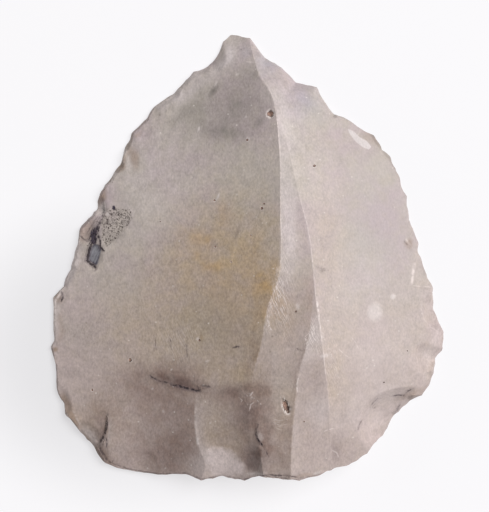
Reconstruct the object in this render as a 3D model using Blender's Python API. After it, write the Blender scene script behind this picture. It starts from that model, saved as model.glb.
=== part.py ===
"""A Levallois point: one broad flake of flint, knapped to shape before it was struck.

It lies on its ventral face, dorsal face up: +Y runs to the tip, +X to the right edge and
+Z up, with the origin under the middle of its box. A flake is a free form, so its outline,
ridges and hollows are shares of its own width, length and thickness: across runs from -1
at the left edge to 1 at the right, and along from 0 at the butt to 1 at the tip.
"""
import math

import bmesh
import bpy
import numpy as np
from mathutils import Vector

# Driving dimensions, in metres and degrees
LENGTH = 0.0800            # butt to tip
WIDTH = 0.0705             # widest place, low on the body
THICKNESS = 0.0120         # from the bulb's flat up to the highest ridge
EDGE_THICKNESS = 0.0008    # how thin the retouched edge is
RETOUCH_ANGLE = 58.0       # slope of the small scars that trim the edge
BULB_HEIGHT = 0.0013       # how far the bulb of force stands out of the ventral face
VENTRAL_HOLLOW = 0.0009    # how far the middle of the ventral face is sunk
BUTT_LIFT = 0.0010         # how far the ventral face sweeps up behind the bulb

# How finely the two faces are divided
ROWS = 44
COLUMNS = (16, 7, 3, 3, 3, 16)
VENTRAL_DIVISIONS = 26
ARC_POINTS = 3
BUTT_RINGS = 7

# Room around the flake for the cutters, in metres
MARGIN = 0.006

# Bow of the edge between two corners, as a share of their distance
HOLLOW = -0.055
STRAIGHT = 0.0
ROUND = 0.055

# Corners where two retouch scars meet on the outline, clockwise from the tip, in thousandths
# of the half width across and of the length along, each with the bow of the edge after it
RIGHT_EDGE = (
    (-81, 1000, STRAIGHT), (14, 993, STRAIGHT), (95, 945, STRAIGHT), (172, 929, STRAIGHT),
    (248, 893, STRAIGHT), (355, 882, HOLLOW), (442, 824, STRAIGHT), (538, 803, HOLLOW),
    (645, 774, ROUND), (686, 741, ROUND), (732, 725, HOLLOW), (778, 682, STRAIGHT),
    (788, 653, HOLLOW), (814, 638, STRAIGHT), (824, 584, STRAIGHT), (875, 532, HOLLOW),
    (870, 510, ROUND), (915, 456, STRAIGHT), (951, 431, STRAIGHT), (946, 386, STRAIGHT),
    (1000, 332, STRAIGHT), (997, 294, STRAIGHT), (956, 274, ROUND), (941, 229, ROUND),
    (890, 191, STRAIGHT), (829, 178, STRAIGHT), (747, 144, STRAIGHT),
)
BUTT = (
    (691, 101, HOLLOW), (610, 61, STRAIGHT), (518, 34, HOLLOW), (370, 12, STRAIGHT),
    (263, 0, STRAIGHT), (60, 9, STRAIGHT), (-17, 0, STRAIGHT), (-124, 9, STRAIGHT),
    (-231, 0, STRAIGHT), (-317, 14, STRAIGHT),
)
LEFT_EDGE = (
    (-460, 12, STRAIGHT), (-608, 23, ROUND), (-730, 41, ROUND), (-781, 77, STRAIGHT),
    (-852, 106, HOLLOW), (-924, 144, ROUND), (-934, 173, ROUND), (-969, 202, STRAIGHT),
    (-975, 256, STRAIGHT), (-1000, 299, STRAIGHT), (-985, 314, STRAIGHT), (-990, 409, STRAIGHT),
    (-934, 436, ROUND), (-898, 474, STRAIGHT), (-868, 530, STRAIGHT), (-857, 563, STRAIGHT),
    (-761, 611, HOLLOW), (-766, 626, ROUND), (-705, 673, ROUND), (-648, 707, STRAIGHT),
    (-623, 747, HOLLOW), (-592, 777, STRAIGHT), (-511, 812, ROUND), (-470, 839, STRAIGHT),
    (-373, 869, STRAIGHT), (-272, 916, HOLLOW), (-180, 936, HOLLOW), (-124, 983, STRAIGHT),
)

# Ridges on the dorsal face, each as (along, across)
MAIN_RIDGE = (
    (0.00, 0.015), (0.21, 0.02), (0.258, 0.036), (0.303, 0.065), (0.375, 0.093), (0.404, 0.112),
    (0.447, 0.151), (0.50, 0.169), (0.595, 0.166), (0.66, 0.168), (0.72, 0.166), (0.763, 0.158),
    (0.82, 0.146), (0.853, 0.131), (0.875, 0.111), (0.902, 0.067), (0.94, 0.037), (1.00, 0.005),
)
RIGHT_RIDGE = (
    (0.00, 0.43), (0.236, 0.398), (0.314, 0.375), (0.404, 0.348), (0.50, 0.328), (0.561, 0.309),
    (0.631, 0.267), (0.763, 0.193), (0.79, 0.172),
)
LOW_LEFT_RIDGE = ((0.00, 0.08), (0.08, 0.08), (0.12, 0.13), (0.30, 0.136), (0.45, 0.20))
LOW_RIGHT_RIDGE = (
    (0.00, 0.219), (0.113, 0.229), (0.198, 0.246), (0.243, 0.263), (0.314, 0.304), (0.42, 0.335),
)
BUTT_RIDGE = (
    (0.00, -0.236), (0.036, -0.215), (0.063, -0.236), (0.10, -0.258), (0.137, -0.266),
    (0.193, -0.256), (1.00, -0.15),
)
RIDGE_GAP = 0.012          # narrowest strip kept between two ridges, across

# Heights of the dorsal face as (along, share of the thickness)
LEFT_FACET = (
    (0.00, 0.79), (0.10, 0.815), (0.20, 0.817), (0.30, 0.812), (0.40, 0.79), (0.50, 0.758),
    (0.60, 0.708), (0.70, 0.625), (0.79, 0.503), (0.85, 0.42), (0.90, 0.35), (0.95, 0.272),
    (1.00, 0.158),
)
RIGHT_FACET = (
    (0.00, 0.89), (0.10, 1.13), (0.20, 1.37), (0.27, 1.47), (0.33, 1.46), (0.40, 1.39),
    (0.50, 1.275), (0.60, 1.17), (0.70, 1.04),
)
TIP_STATIONS = (0.79, 0.82, 0.853, 0.875, 0.902, 0.94, 0.97, 1.00)
LEFT_SLOPE = 0.75          # rise of the left facet over half the width
RIGHT_SLOPE = ((0.00, 0.75), (0.20, 1.18), (0.35, 1.30), (1.00, 1.30))
LOW_LEFT_LIFT = ((0.00, 0.01), (0.10, 0.06), (0.20, 0.035), (0.25, 0.035), (0.32, 0.0))
LOW_RIGHT_LIFT = (
    (0.00, 0.075), (0.10, 0.105), (0.20, 0.075), (0.25, 0.070), (0.30, 0.036), (0.37, 0.0),
)
TIP_FOLD = 0.938           # along, where the face bends down towards the tip
TIP_FALL = 2.0             # how much steeper it falls above that fold

# Half width of the body at each height, as (along, share), for the sag of the wide facets
LEFT_SIDE = ((0.0, 0.70), (0.15, 0.93), (0.30, 1.0), (0.50, 0.89), (0.75, 0.60), (1.0, 0.10))
RIGHT_SIDE = ((0.0, 0.60), (0.15, 0.85), (0.30, 1.0), (0.50, 0.88), (0.75, 0.71), (1.0, 0.05))
LEFT_SAG = 0.065
RIGHT_SAG = 0.035

# Scars struck from the butt: the lines between them, each with its depth below the facet at
# the butt itself, how far each scar sinks below those lines, and the height where they end
SCAR_LIMIT = ((0.0, -0.90), (1.0, -0.90))
SCAR_FLOOR = ((0.0, 0.00), (0.12, -0.02), (1.0, -0.02))
SCAR_WALL = ((0.0, 0.085), (0.124, 0.055), (0.20, 0.08), (1.0, 0.08))
SCAR_LINES = (SCAR_LIMIT, BUTT_RIDGE, SCAR_FLOOR, SCAR_WALL, LOW_RIGHT_RIDGE)
DEPTH_AT_LINES = (0.10, 0.19, 0.25, 0.05, 0.0)
SCAR_SINKS = (0.13, 0.03, 0.05, 0.03)
SCAR_STEEPENING = 1.35     # above 1 the scars dive towards the butt
BEHIND_THE_BUTT = 1.3      # how far past the butt the scars still deepen
BUTT_SCAR_TOP = (
    (-0.90, 0.10), (-0.70, 0.14), (-0.50, 0.228), (-0.215, 0.207), (-0.05, 0.18), (0.10, 0.15),
    (0.30, 0.17),
)

# Larger scars on the edges: centre across and along, and half sizes across and along
EDGE_SCARS = (
    (0.93, 0.475, 0.085, 0.052),
    (0.97, 0.375, 0.080, 0.050),
    (0.83, 0.125, 0.270, 0.085),
    (-0.97, 0.170, 0.075, 0.045),
    (-0.86, 0.075, 0.130, 0.060),
)
EDGE_SCAR_BOWL = 1.5       # above 1 the scars are round in the middle

# The butt: (across limit, slope of the facet to the left of it), leaning in under the edge
BUTT_FACETS = (
    (-0.47, 0.0), (-0.24, 0.14), (-0.02, 0.24), (0.26, 0.18), (0.52, 0.26), (0.70, 0.12),
    (2.00, 0.0),
)
BUTT_REACH = 0.15          # the butt lies below this place along
LEAN_TOWARDS = (0.00, 0.43)

# The ventral face: bulb and hollow as centre across and along, reach across and along
BULB = (0.10, 0.10, 0.42, 0.13)
HOLLOW_PLACE = (0.00, 0.60, 0.62, 0.30)
BUTT_SWEEP = 0.5

FLINT_COLOUR = (0.42, 0.37, 0.345, 1.0)
FLINT_ROUGHNESS = 0.55


def profile(points, along):
    """Smooth curve through a few (along, value) stations, read at any place along."""
    stations = np.array([p[0] for p in points])
    values = np.array([p[1] for p in points])
    slopes = np.gradient(values, stations)
    place = np.clip(along, stations[0], stations[-1])
    k = np.clip(np.searchsorted(stations, place) - 1, 0, len(stations) - 2)
    span = stations[k + 1] - stations[k]
    u = (place - stations[k]) / span
    start = (1 + 2 * u) * (1 - u) ** 2 * values[k] + u * (1 - u) ** 2 * span * slopes[k]
    end = u ** 2 * (3 - 2 * u) * values[k + 1] - u ** 2 * (1 - u) * span * slopes[k + 1]
    return start + end


def to_metres(across, along):
    return across * WIDTH / 2, (along - 0.5) * LENGTH


def bowed_edge(corners, last):
    """Points along the edge through the corners, each stretch an arc with its own bow."""
    points = []
    for (across, along, bow), following in zip(corners, (*corners[1:], last)):
        start = np.array(to_metres(across / 1000, along / 1000))
        chord = np.array(to_metres(following[0] / 1000, following[1] / 1000)) - start
        outward = np.array((-chord[1], chord[0]))
        for k in range(ARC_POINTS):
            u = k / ARC_POINTS
            points.append(start + chord * u + outward * bow * 4 * u * (1 - u))
    return points


def ridges(along):
    """Where the ridges lie across the face at each height, in order from left to right."""
    main = profile(MAIN_RIDGE, along)
    right = np.where(along < RIGHT_RIDGE[-1][0], profile(RIGHT_RIDGE, along), main)
    right = np.maximum(right, main + 3 * RIDGE_GAP)
    low_left = np.clip(profile(LOW_LEFT_RIDGE, along), main + RIDGE_GAP, right - 2 * RIDGE_GAP)
    low_right = np.clip(profile(LOW_RIGHT_RIDGE, along), low_left + RIDGE_GAP, right - RIDGE_GAP)
    return main, low_left, low_right, right


def left_facet(across, along):
    """The wide left scar: it rises to the main ridge and sags a little in its middle."""
    main = profile(MAIN_RIDGE, along)
    share = np.clip((main - across) / (main + profile(LEFT_SIDE, along)), 0, 1)
    sag = LEFT_SAG * profile(LEFT_SIDE, along) * 4 * share * (1 - share)
    return profile(LEFT_FACET, along) + LEFT_SLOPE * across - sag


def right_facet(across, along):
    """The wide right scar, which meets the left one along the main ridge near the tip."""
    slope = profile(RIGHT_SLOPE, along)
    tip = [(t, right_height_at_tip(t)) for t in TIP_STATIONS]
    ridge = profile(RIGHT_RIDGE, along)
    share = np.clip((across - ridge) / (profile(RIGHT_SIDE, along) - ridge + RIDGE_GAP), 0, 1)
    sag = RIGHT_SAG * profile(RIGHT_SIDE, along) * 4 * share * (1 - share)
    return profile((*RIGHT_FACET, *tip), along) - slope * across - sag


def right_height_at_tip(along):
    place = profile(MAIN_RIDGE, along)
    return profile(LEFT_FACET, along) + (LEFT_SLOPE + profile(RIGHT_SLOPE, along)) * place


def scars_from_the_butt(across, along):
    """Depth of the hollows that run in from the butt, with a ridge left between them."""
    lines = [profile(line, along) for line in SCAR_LINES]
    depth = np.where(across < lines[0], DEPTH_AT_LINES[0], DEPTH_AT_LINES[-1])
    for k, sink in enumerate(SCAR_SINKS):
        share = (across - lines[k]) / (lines[k + 1] - lines[k])
        run = DEPTH_AT_LINES[k + 1] - DEPTH_AT_LINES[k]
        height = DEPTH_AT_LINES[k] + run * share + sink * 4 * share * (1 - share)
        depth = np.where((share >= 0) & (share < 1), height, depth)
    run = np.clip(1 - along / profile(BUTT_SCAR_TOP, across), 0, BEHIND_THE_BUTT)
    return depth * run ** SCAR_STEEPENING


def facets(across, along):
    """The main facets of the dorsal face, joined along the ridges."""
    main, low_left, low_right, right = ridges(along)
    at_main = left_facet(main, along)
    at_right = right_facet(right, along)
    reach = right - main
    at_low_left = at_main + (at_right - at_main) * (low_left - main) / reach
    at_low_left = at_low_left + profile(LOW_LEFT_LIFT, along)
    at_low_right = at_main + (at_right - at_main) * (low_right - main) / reach
    at_low_right = at_low_right + profile(LOW_RIGHT_LIFT, along)
    height = left_facet(across, along)
    strips = (
        (main, low_left, at_main, at_low_left),
        (low_left, low_right, at_low_left, at_low_right),
        (low_right, right, at_low_right, at_right),
    )
    for start, end, at_start, at_end in strips:
        share = (across - start) / (end - start)
        height = np.where(across > start, at_start + (at_end - at_start) * share, height)
    height = np.where(across > right, right_facet(across, along), height)
    return height - TIP_FALL * np.clip(along - TIP_FOLD, 0, None)


def ventral(across, along):
    """Height of the ventral face over the surface it lies on, in metres, flat on the bulb."""
    bulb_across, bulb_along, bulb_width, bulb_length = BULB
    spread = ((across - bulb_across) / bulb_width) ** 2 + ((along - bulb_along) / bulb_length) ** 2
    bulb = BULB_HEIGHT * np.exp(-spread)
    middle_across, middle_along, half_width, half_length = HOLLOW_PLACE
    spread = ((across - middle_across) / half_width) ** 2 + ((along - middle_along) / half_length) ** 2
    hollow = VENTRAL_HOLLOW * np.clip(1 - spread, 0, 1) ** 2
    sweep = BUTT_LIFT * np.clip(1 - along / BUTT_SWEEP, 0, 1.2) ** 2
    return np.maximum(sweep + hollow - bulb, 0)


def distance_to(points, line):
    """Shortest distance from each point to a run of straight stretches."""
    nearest = np.full(len(points), np.inf)
    for start, end in zip(line[:-1], line[1:]):
        run = end - start
        share = np.clip((points - start) @ run / (run @ run), 0, 1)
        nearest = np.minimum(nearest, np.hypot(*(points - start - share[:, None] * run).T))
    return nearest


def is_inside(points, loop):
    """Whether each point lies inside the closed outline."""
    inside = np.zeros(len(points), bool)
    for start, end in zip(loop, np.roll(loop, -1, axis=0)):
        spans = (start[1] > points[:, 1]) != (end[1] > points[:, 1])
        rise = end[1] - start[1] if end[1] != start[1] else 1.0
        crossing = start[0] + (points[:, 1] - start[1]) / rise * (end[0] - start[0])
        inside ^= spans & (points[:, 0] < crossing)
    return inside


def make_dorsal(right_edge, butt, left_edge):
    """A function that gives the height of the dorsal face, in metres, at any place."""
    sharp_edge = np.array((*left_edge, *right_edge, butt[0]))
    butt_edge = np.array((*butt, left_edge[0]))
    outline = np.array((*right_edge, *butt, *left_edge))
    trim = math.tan(math.radians(RETOUCH_ANGLE))

    def dorsal(across, along):
        height = THICKNESS * (facets(across, along) - scars_from_the_butt(across, along))
        thinnest = ventral(across, along) + EDGE_THICKNESS
        for middle_across, middle_along, half_width, half_length in EDGE_SCARS:
            reach = np.hypot((across - middle_across) / half_width, (along - middle_along) / half_length)
            share = np.clip(reach, 0, 1) ** EDGE_SCAR_BOWL
            height = thinnest + (height - thinnest) * share
        points = np.column_stack(to_metres(across, along))
        to_edge = distance_to(points, sharp_edge)
        outside = ~is_inside(points, outline) & (to_edge < distance_to(points, butt_edge))
        room = np.where(outside, 0, to_edge)
        return np.maximum(np.minimum(height, thinnest + trim * room), thinnest)

    return dorsal


def new_object(name, mesh, collection):
    """Put a mesh in the scene as an object in its collection."""
    result = bpy.data.objects.new(name, mesh)
    collection.objects.link(result)
    return result


def mesh_from(name, bm):
    """Store a bmesh as a mesh with its faces pointing out."""
    bmesh.ops.recalc_face_normals(bm, faces=bm.faces)
    mesh = bpy.data.meshes.new(name)
    bm.to_mesh(mesh)
    bm.free()
    return mesh


def outline_blank(name, outline, collection):
    """A slab of the flake's outline, thick enough for both faces to be cut into it."""
    curve = bpy.data.curves.new(name, "CURVE")
    curve.dimensions = "2D"
    curve.fill_mode = "BOTH"
    curve.extrude = THICKNESS / 2 + MARGIN / 3
    spline = curve.splines.new("POLY")
    spline.points.add(len(outline) - 1)
    for point, (x, y) in zip(spline.points, outline):
        point.co = (x, y, 0, 1)
    spline.use_cyclic_u = True
    shape = new_object(name + "_outline", curve, collection)
    shape.location.z = THICKNESS / 2
    bpy.context.view_layer.update()
    evaluated = shape.evaluated_get(bpy.context.evaluated_depsgraph_get())
    bm = bmesh.new()
    bm.from_mesh(bpy.data.meshes.new_from_object(evaluated))
    bmesh.ops.transform(bm, matrix=shape.matrix_world, verts=bm.verts)
    bmesh.ops.remove_doubles(bm, verts=bm.verts, dist=1e-6)
    bpy.data.objects.remove(shape)
    for side in (-1, 1):
        cap = [face for face in bm.faces if face.normal.z * side > 0.9]
        bmesh.ops.dissolve_faces(bm, faces=cap)
    return bm


def lean_butt(bm, dorsal):
    """Lean the facets of the butt in under the dorsal edge, which stays where it is."""
    towards = Vector((*to_metres(*LEAN_TOWARDS), 0))
    reach = (BUTT_REACH - 0.5) * LENGTH
    upright = [
        edge for edge in bm.edges
        if abs(edge.verts[0].co.z - edge.verts[1].co.z) > THICKNESS and edge.verts[0].co.y < reach
    ]
    bmesh.ops.subdivide_edges(bm, edges=upright, cuts=BUTT_RINGS, use_grid_fill=True)
    for vert in [vert for vert in bm.verts if vert.co.y < reach]:
        across = vert.co.x / (WIDTH / 2)
        along = vert.co.y / LENGTH + 0.5
        slope = next(lean for limit, lean in BUTT_FACETS if across < limit)
        edge_height = float(dorsal(np.array([across]), np.array([along]))[0])
        inward = towards - Vector((vert.co.x, vert.co.y, 0))
        vert.co += inward.normalized() * slope * (edge_height - vert.co.z)


def cutter_from_grid(name, columns, rows, place, height, top, collection):
    """A block with one worked face: its grid follows a height and its far side is flat."""
    bm = bmesh.new()
    bmesh.ops.create_grid(bm, x_segments=columns, y_segments=rows, size=0.5)
    across = np.array([vert.co.x + 0.5 for vert in bm.verts])
    along = np.array([vert.co.y + 0.5 for vert in bm.verts])
    across, along = place(across, along)
    x, y = to_metres(across, along)
    for vert, co in zip(bm.verts, zip(x, y, height(across, along))):
        vert.co = co
    worked = bm.faces[:]
    grown = bmesh.ops.extrude_face_region(bm, geom=worked)
    for item in grown["geom"]:
        if isinstance(item, bmesh.types.BMVert):
            item.co.z = top
    cutter = new_object(name, mesh_from(name, bm), collection)
    cutter.hide_render = True
    cutter.display_type = "WIRE"
    return cutter


def dorsal_place(across_share, along_share):
    """Spread the dorsal grid so that its columns run along the ridges."""
    margin_across = MARGIN / (WIDTH / 2)
    margin_along = MARGIN / LENGTH
    along = -margin_along + along_share * (1 + 2 * margin_along)
    main, low_left, low_right, right = ridges(along)
    side = np.full_like(along, 1 + margin_across)
    lines = (-side, profile(BUTT_RIDGE, along), main, low_left, low_right, right, side)
    stations = np.cumsum((0, *COLUMNS)) / sum(COLUMNS)
    across = np.empty_like(along)
    for k, line_pair in enumerate(zip(lines[:-1], lines[1:])):
        share = (across_share - stations[k]) / (stations[k + 1] - stations[k])
        chosen = (share >= -1e-6) & (share <= 1 + 1e-6)
        across[chosen] = (line_pair[0] + (line_pair[1] - line_pair[0]) * share)[chosen]
    return across, along


def ventral_place(across_share, along_share):
    """Spread the ventral grid evenly, a little past the outline."""
    margin_across = MARGIN / (WIDTH / 2)
    margin_along = MARGIN / LENGTH
    across = (across_share * 2 - 1) * (1 + margin_across)
    return across, -margin_along + along_share * (1 + 2 * margin_along)


def cut(target, cutter):
    modifier = target.modifiers.new(cutter.name, "BOOLEAN")
    modifier.operation = "DIFFERENCE"
    modifier.solver = "EXACT"
    modifier.object = cutter


def flint_material():
    material = bpy.data.materials.new("flint")
    material.use_nodes = True
    shader = material.node_tree.nodes["Principled BSDF"]
    shader.inputs["Base Color"].default_value = FLINT_COLOUR
    shader.inputs["Roughness"].default_value = FLINT_ROUGHNESS
    shader.inputs["Metallic"].default_value = 0.0
    return material


def main():
    for old in list(bpy.data.objects):
        bpy.data.objects.remove(old)
    parts = bpy.data.collections.new("levallois_point")
    cutters = bpy.data.collections.new("cutters")
    for collection in (parts, cutters):
        bpy.context.scene.collection.children.link(collection)

    right_edge = bowed_edge(RIGHT_EDGE, BUTT[0])
    butt = bowed_edge(BUTT, LEFT_EDGE[0])
    left_edge = bowed_edge(LEFT_EDGE, RIGHT_EDGE[0])
    dorsal = make_dorsal(right_edge, butt, left_edge)

    blank = outline_blank("flint_point", (*right_edge, *butt, *left_edge), parts)
    lean_butt(blank, dorsal)
    point = new_object("flint_point", mesh_from("flint_point", blank), parts)
    point.data.materials.append(flint_material())
    above = cutter_from_grid(
        "dorsal_cutter", sum(COLUMNS), ROWS, dorsal_place, dorsal, THICKNESS + MARGIN, cutters)
    below = cutter_from_grid(
        "ventral_cutter", VENTRAL_DIVISIONS, VENTRAL_DIVISIONS, ventral_place, ventral, -MARGIN,
        cutters)
    cut(point, above)
    cut(point, below)


main()
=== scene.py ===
"""The looks of a Levallois point: a flake of pale flint lying on a table, seen from above.

The fine flake stands for the solid in the frame and keeps its form. Places on the flake are
shares: across runs from -1 at the left edge to 1 at the right, and along from 0 at the butt
to 1 at the tip. Marks on its surface are in millimetres from the middle of its box.
"""
import math

import bmesh
import bpy
import numpy as np
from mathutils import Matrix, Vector, noise


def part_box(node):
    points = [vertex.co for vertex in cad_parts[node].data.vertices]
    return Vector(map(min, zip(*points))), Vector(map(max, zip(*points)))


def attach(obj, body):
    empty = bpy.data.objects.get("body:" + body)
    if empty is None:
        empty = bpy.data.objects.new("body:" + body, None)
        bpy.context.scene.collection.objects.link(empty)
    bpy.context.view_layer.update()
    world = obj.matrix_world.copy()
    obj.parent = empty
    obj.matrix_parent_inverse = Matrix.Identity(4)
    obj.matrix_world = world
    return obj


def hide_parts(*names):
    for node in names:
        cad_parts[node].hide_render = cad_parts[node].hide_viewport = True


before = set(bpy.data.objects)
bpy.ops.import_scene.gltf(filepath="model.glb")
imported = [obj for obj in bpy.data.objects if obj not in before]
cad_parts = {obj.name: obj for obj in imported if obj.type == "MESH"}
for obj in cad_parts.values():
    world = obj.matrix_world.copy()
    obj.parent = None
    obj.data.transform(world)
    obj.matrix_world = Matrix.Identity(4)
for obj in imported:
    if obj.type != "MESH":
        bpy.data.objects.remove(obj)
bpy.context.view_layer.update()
node_low, node_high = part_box("flint_point")
WIDTH = node_high.x - node_low.x
LENGTH = node_high.y - node_low.y
THICKNESS = node_high.z - node_low.z
MM = 0.001

# Bow of the edge between two corners, as a share of their distance
HOLLOW = -0.055
STRAIGHT = 0.0
ROUND = 0.055

# Corners where two retouch scars meet on the outline, clockwise from the tip, in thousandths
# of the half width across and of the length along, each with the bow of the edge after it
RIGHT_EDGE = (
    (-81, 1000, STRAIGHT), (14, 993, STRAIGHT), (95, 945, STRAIGHT), (172, 929, STRAIGHT),
    (248, 893, STRAIGHT), (355, 882, HOLLOW), (442, 824, STRAIGHT), (538, 803, HOLLOW),
    (645, 774, ROUND), (686, 741, ROUND), (732, 725, HOLLOW), (778, 682, STRAIGHT),
    (788, 653, HOLLOW), (814, 638, STRAIGHT), (824, 584, STRAIGHT), (875, 532, HOLLOW),
    (870, 510, ROUND), (915, 456, STRAIGHT), (951, 431, STRAIGHT), (946, 386, STRAIGHT),
    (1000, 332, STRAIGHT), (997, 294, STRAIGHT), (956, 274, ROUND), (941, 229, ROUND),
    (890, 191, STRAIGHT), (829, 178, STRAIGHT), (747, 144, STRAIGHT),
)
BUTT = (
    (691, 101, HOLLOW), (610, 61, STRAIGHT), (518, 34, HOLLOW), (370, 12, STRAIGHT),
    (263, 0, STRAIGHT), (60, 9, STRAIGHT), (-17, 0, STRAIGHT), (-124, 9, STRAIGHT),
    (-231, 0, STRAIGHT), (-317, 14, STRAIGHT),
)
LEFT_EDGE = (
    (-460, 12, STRAIGHT), (-608, 23, ROUND), (-730, 41, ROUND), (-781, 77, STRAIGHT),
    (-852, 106, HOLLOW), (-924, 144, ROUND), (-934, 173, ROUND), (-969, 202, STRAIGHT),
    (-975, 256, STRAIGHT), (-1000, 299, STRAIGHT), (-985, 314, STRAIGHT), (-990, 409, STRAIGHT),
    (-934, 436, ROUND), (-898, 474, STRAIGHT), (-868, 530, STRAIGHT), (-857, 563, STRAIGHT),
    (-761, 611, HOLLOW), (-766, 626, ROUND), (-705, 673, ROUND), (-648, 707, STRAIGHT),
    (-623, 747, HOLLOW), (-592, 777, STRAIGHT), (-511, 812, ROUND), (-470, 839, STRAIGHT),
    (-373, 869, STRAIGHT), (-272, 916, HOLLOW), (-180, 936, HOLLOW), (-124, 983, STRAIGHT),
)

# Ridges on the dorsal face, each as (along, across)
MAIN_RIDGE = (
    (0.00, 0.015), (0.21, 0.02), (0.258, 0.036), (0.303, 0.065), (0.375, 0.093), (0.404, 0.112),
    (0.447, 0.151), (0.50, 0.169), (0.595, 0.166), (0.66, 0.168), (0.72, 0.166), (0.763, 0.158),
    (0.82, 0.146), (0.853, 0.131), (0.875, 0.111), (0.902, 0.067), (0.94, 0.037), (1.00, 0.005),
)
RIGHT_RIDGE = (
    (0.00, 0.43), (0.236, 0.398), (0.314, 0.375), (0.404, 0.348), (0.50, 0.328), (0.561, 0.309),
    (0.631, 0.267), (0.763, 0.193), (0.79, 0.172),
)
LOW_LEFT_RIDGE = ((0.00, 0.08), (0.08, 0.08), (0.12, 0.13), (0.30, 0.136), (0.45, 0.20))
LOW_RIGHT_RIDGE = (
    (0.00, 0.219), (0.113, 0.229), (0.198, 0.246), (0.243, 0.263), (0.314, 0.304), (0.42, 0.335),
)
BUTT_RIDGE = (
    (0.00, -0.236), (0.036, -0.215), (0.063, -0.236), (0.10, -0.258), (0.137, -0.266),
    (0.193, -0.256), (1.00, -0.15),
)
RIDGE_GAP = 0.001

# Heights of the dorsal face as (along, share of the thickness)
LEFT_FACET = (
    (0.00, 0.79), (0.10, 0.815), (0.20, 0.817), (0.30, 0.812), (0.40, 0.79), (0.50, 0.758),
    (0.60, 0.708), (0.70, 0.625), (0.79, 0.503), (0.85, 0.42), (0.90, 0.35), (0.95, 0.272),
    (1.00, 0.158),
)
RIGHT_FACET = (
    (0.00, 0.89), (0.10, 1.13), (0.20, 1.37), (0.27, 1.47), (0.33, 1.46), (0.40, 1.39),
    (0.50, 1.275), (0.60, 1.17), (0.70, 1.04),
)
TIP_STATIONS = (0.79, 0.82, 0.853, 0.875, 0.902, 0.94, 0.97, 1.00)
LEFT_SLOPE = 0.75
RIGHT_SLOPE = ((0.00, 0.75), (0.20, 1.18), (0.35, 1.30), (1.00, 1.30))
LOW_LEFT_LIFT = ((0.00, 0.01), (0.10, 0.06), (0.20, 0.035), (0.25, 0.035), (0.32, 0.0))
LOW_RIGHT_LIFT = (
    (0.00, 0.075), (0.10, 0.105), (0.20, 0.075), (0.25, 0.070), (0.30, 0.036), (0.37, 0.0),
)
# The fold across the tip: where it lies along, and how much steeper the face falls above it
TIP_FOLD = 0.938
TIP_FALL = 2.0
LEFT_SIDE = ((0.0, 0.70), (0.15, 0.93), (0.30, 1.0), (0.50, 0.89), (0.75, 0.60), (1.0, 0.10))
RIGHT_SIDE = ((0.0, 0.60), (0.15, 0.85), (0.30, 1.0), (0.50, 0.88), (0.75, 0.71), (1.0, 0.05))
LEFT_SAG = 0.065
RIGHT_SAG = 0.035

# Scars struck from the butt, as in the frame: their lines, depths, sinks and upper ends
SCAR_LIMIT = ((0.0, -0.90), (1.0, -0.90))
SCAR_FLOOR = ((0.0, 0.00), (0.12, -0.02), (1.0, -0.02))
SCAR_WALL = ((0.0, 0.085), (0.124, 0.055), (0.20, 0.08), (1.0, 0.08))
SCAR_LINES = (SCAR_LIMIT, BUTT_RIDGE, SCAR_FLOOR, SCAR_WALL, LOW_RIGHT_RIDGE)
DEPTH_AT_LINES = (0.10, 0.19, 0.25, 0.05, 0.0)
SCAR_SINKS = (0.13, 0.03, 0.05, 0.03)
SCAR_STEEPENING = 1.35
BEHIND_THE_BUTT = 1.3
BUTT_SCAR_TOP = (
    (-0.90, 0.10), (-0.70, 0.14), (-0.50, 0.228), (-0.215, 0.207), (-0.05, 0.18), (0.10, 0.15),
    (0.30, 0.17),
)

# Larger scars on the edges: centre across and along, and half sizes across and along
EDGE_SCARS = (
    (0.93, 0.475, 0.085, 0.052),
    (0.97, 0.375, 0.080, 0.050),
    (0.83, 0.125, 0.270, 0.085),
    (-0.97, 0.170, 0.075, 0.045),
    (-0.86, 0.075, 0.130, 0.060),
)

EDGE_SCAR_BOWL = 1.5

# The butt: (across limit, slope of the facet to the left of it), leaning in under the edge
BUTT_FACETS = (
    (-0.47, 0.0), (-0.24, 0.14), (-0.02, 0.24), (0.26, 0.18), (0.52, 0.26), (0.70, 0.12),
    (2.00, 0.0),
)
BUTT_REACH = 0.15

# The ventral face: bulb and hollow as centre across and along, reach across and along
BULB = (0.10, 0.10, 0.42, 0.13)
HOLLOW_PLACE = (0.00, 0.60, 0.62, 0.30)
BULB_HEIGHT = 1.3 * MM
VENTRAL_HOLLOW = 0.9 * MM
BUTT_LIFT = 1.0 * MM
RIPPLE_HEIGHT = 0.05 * MM
RIPPLE_SPACING = 4.6 * MM
RIPPLES_START = 19 * MM
RIPPLES_FULL = 28 * MM
BUTT_SWEEP = 0.5

# The retouched edge: how steep the small scars are that trim it, in degrees, how much they
# lean to the steeper, and their bowls
EDGE_THICKNESS = 0.35 * MM
SHARP_EDGE = 0.12 * MM
EDGE_ROUNDING = 0.04 * MM
NOTCHES = 0.32 * MM
EDGE_RAGGEDNESS = 0.06 * MM
TRIM_ANGLES = (40, 80)
TRIM_LEAN = 0.7
TRIM_SOFTNESS = 0.10 * MM
WORN_ON_RIGHT = 0.15
SCAR_REACH = (0.35, 1.0)
SCAR_DEPTH = (0.05 * MM, 0.20 * MM)
TIP_SCARS = 0.3
RETOUCH_SEED = 7
STROKE_SEED = 3

# How the mesh is divided: cells on each side of the ventral face, which the dorsal face
# halves, rings on the edge's wall, and points on each bowed stretch of the outline
CELLS = 130
RINGS = 5
ARC_POINTS = 4
CENTRE = (0.0, 0.43)
CLEAR_OF_RIDGE = 0.02
SHARPEST = math.radians(35)

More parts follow.
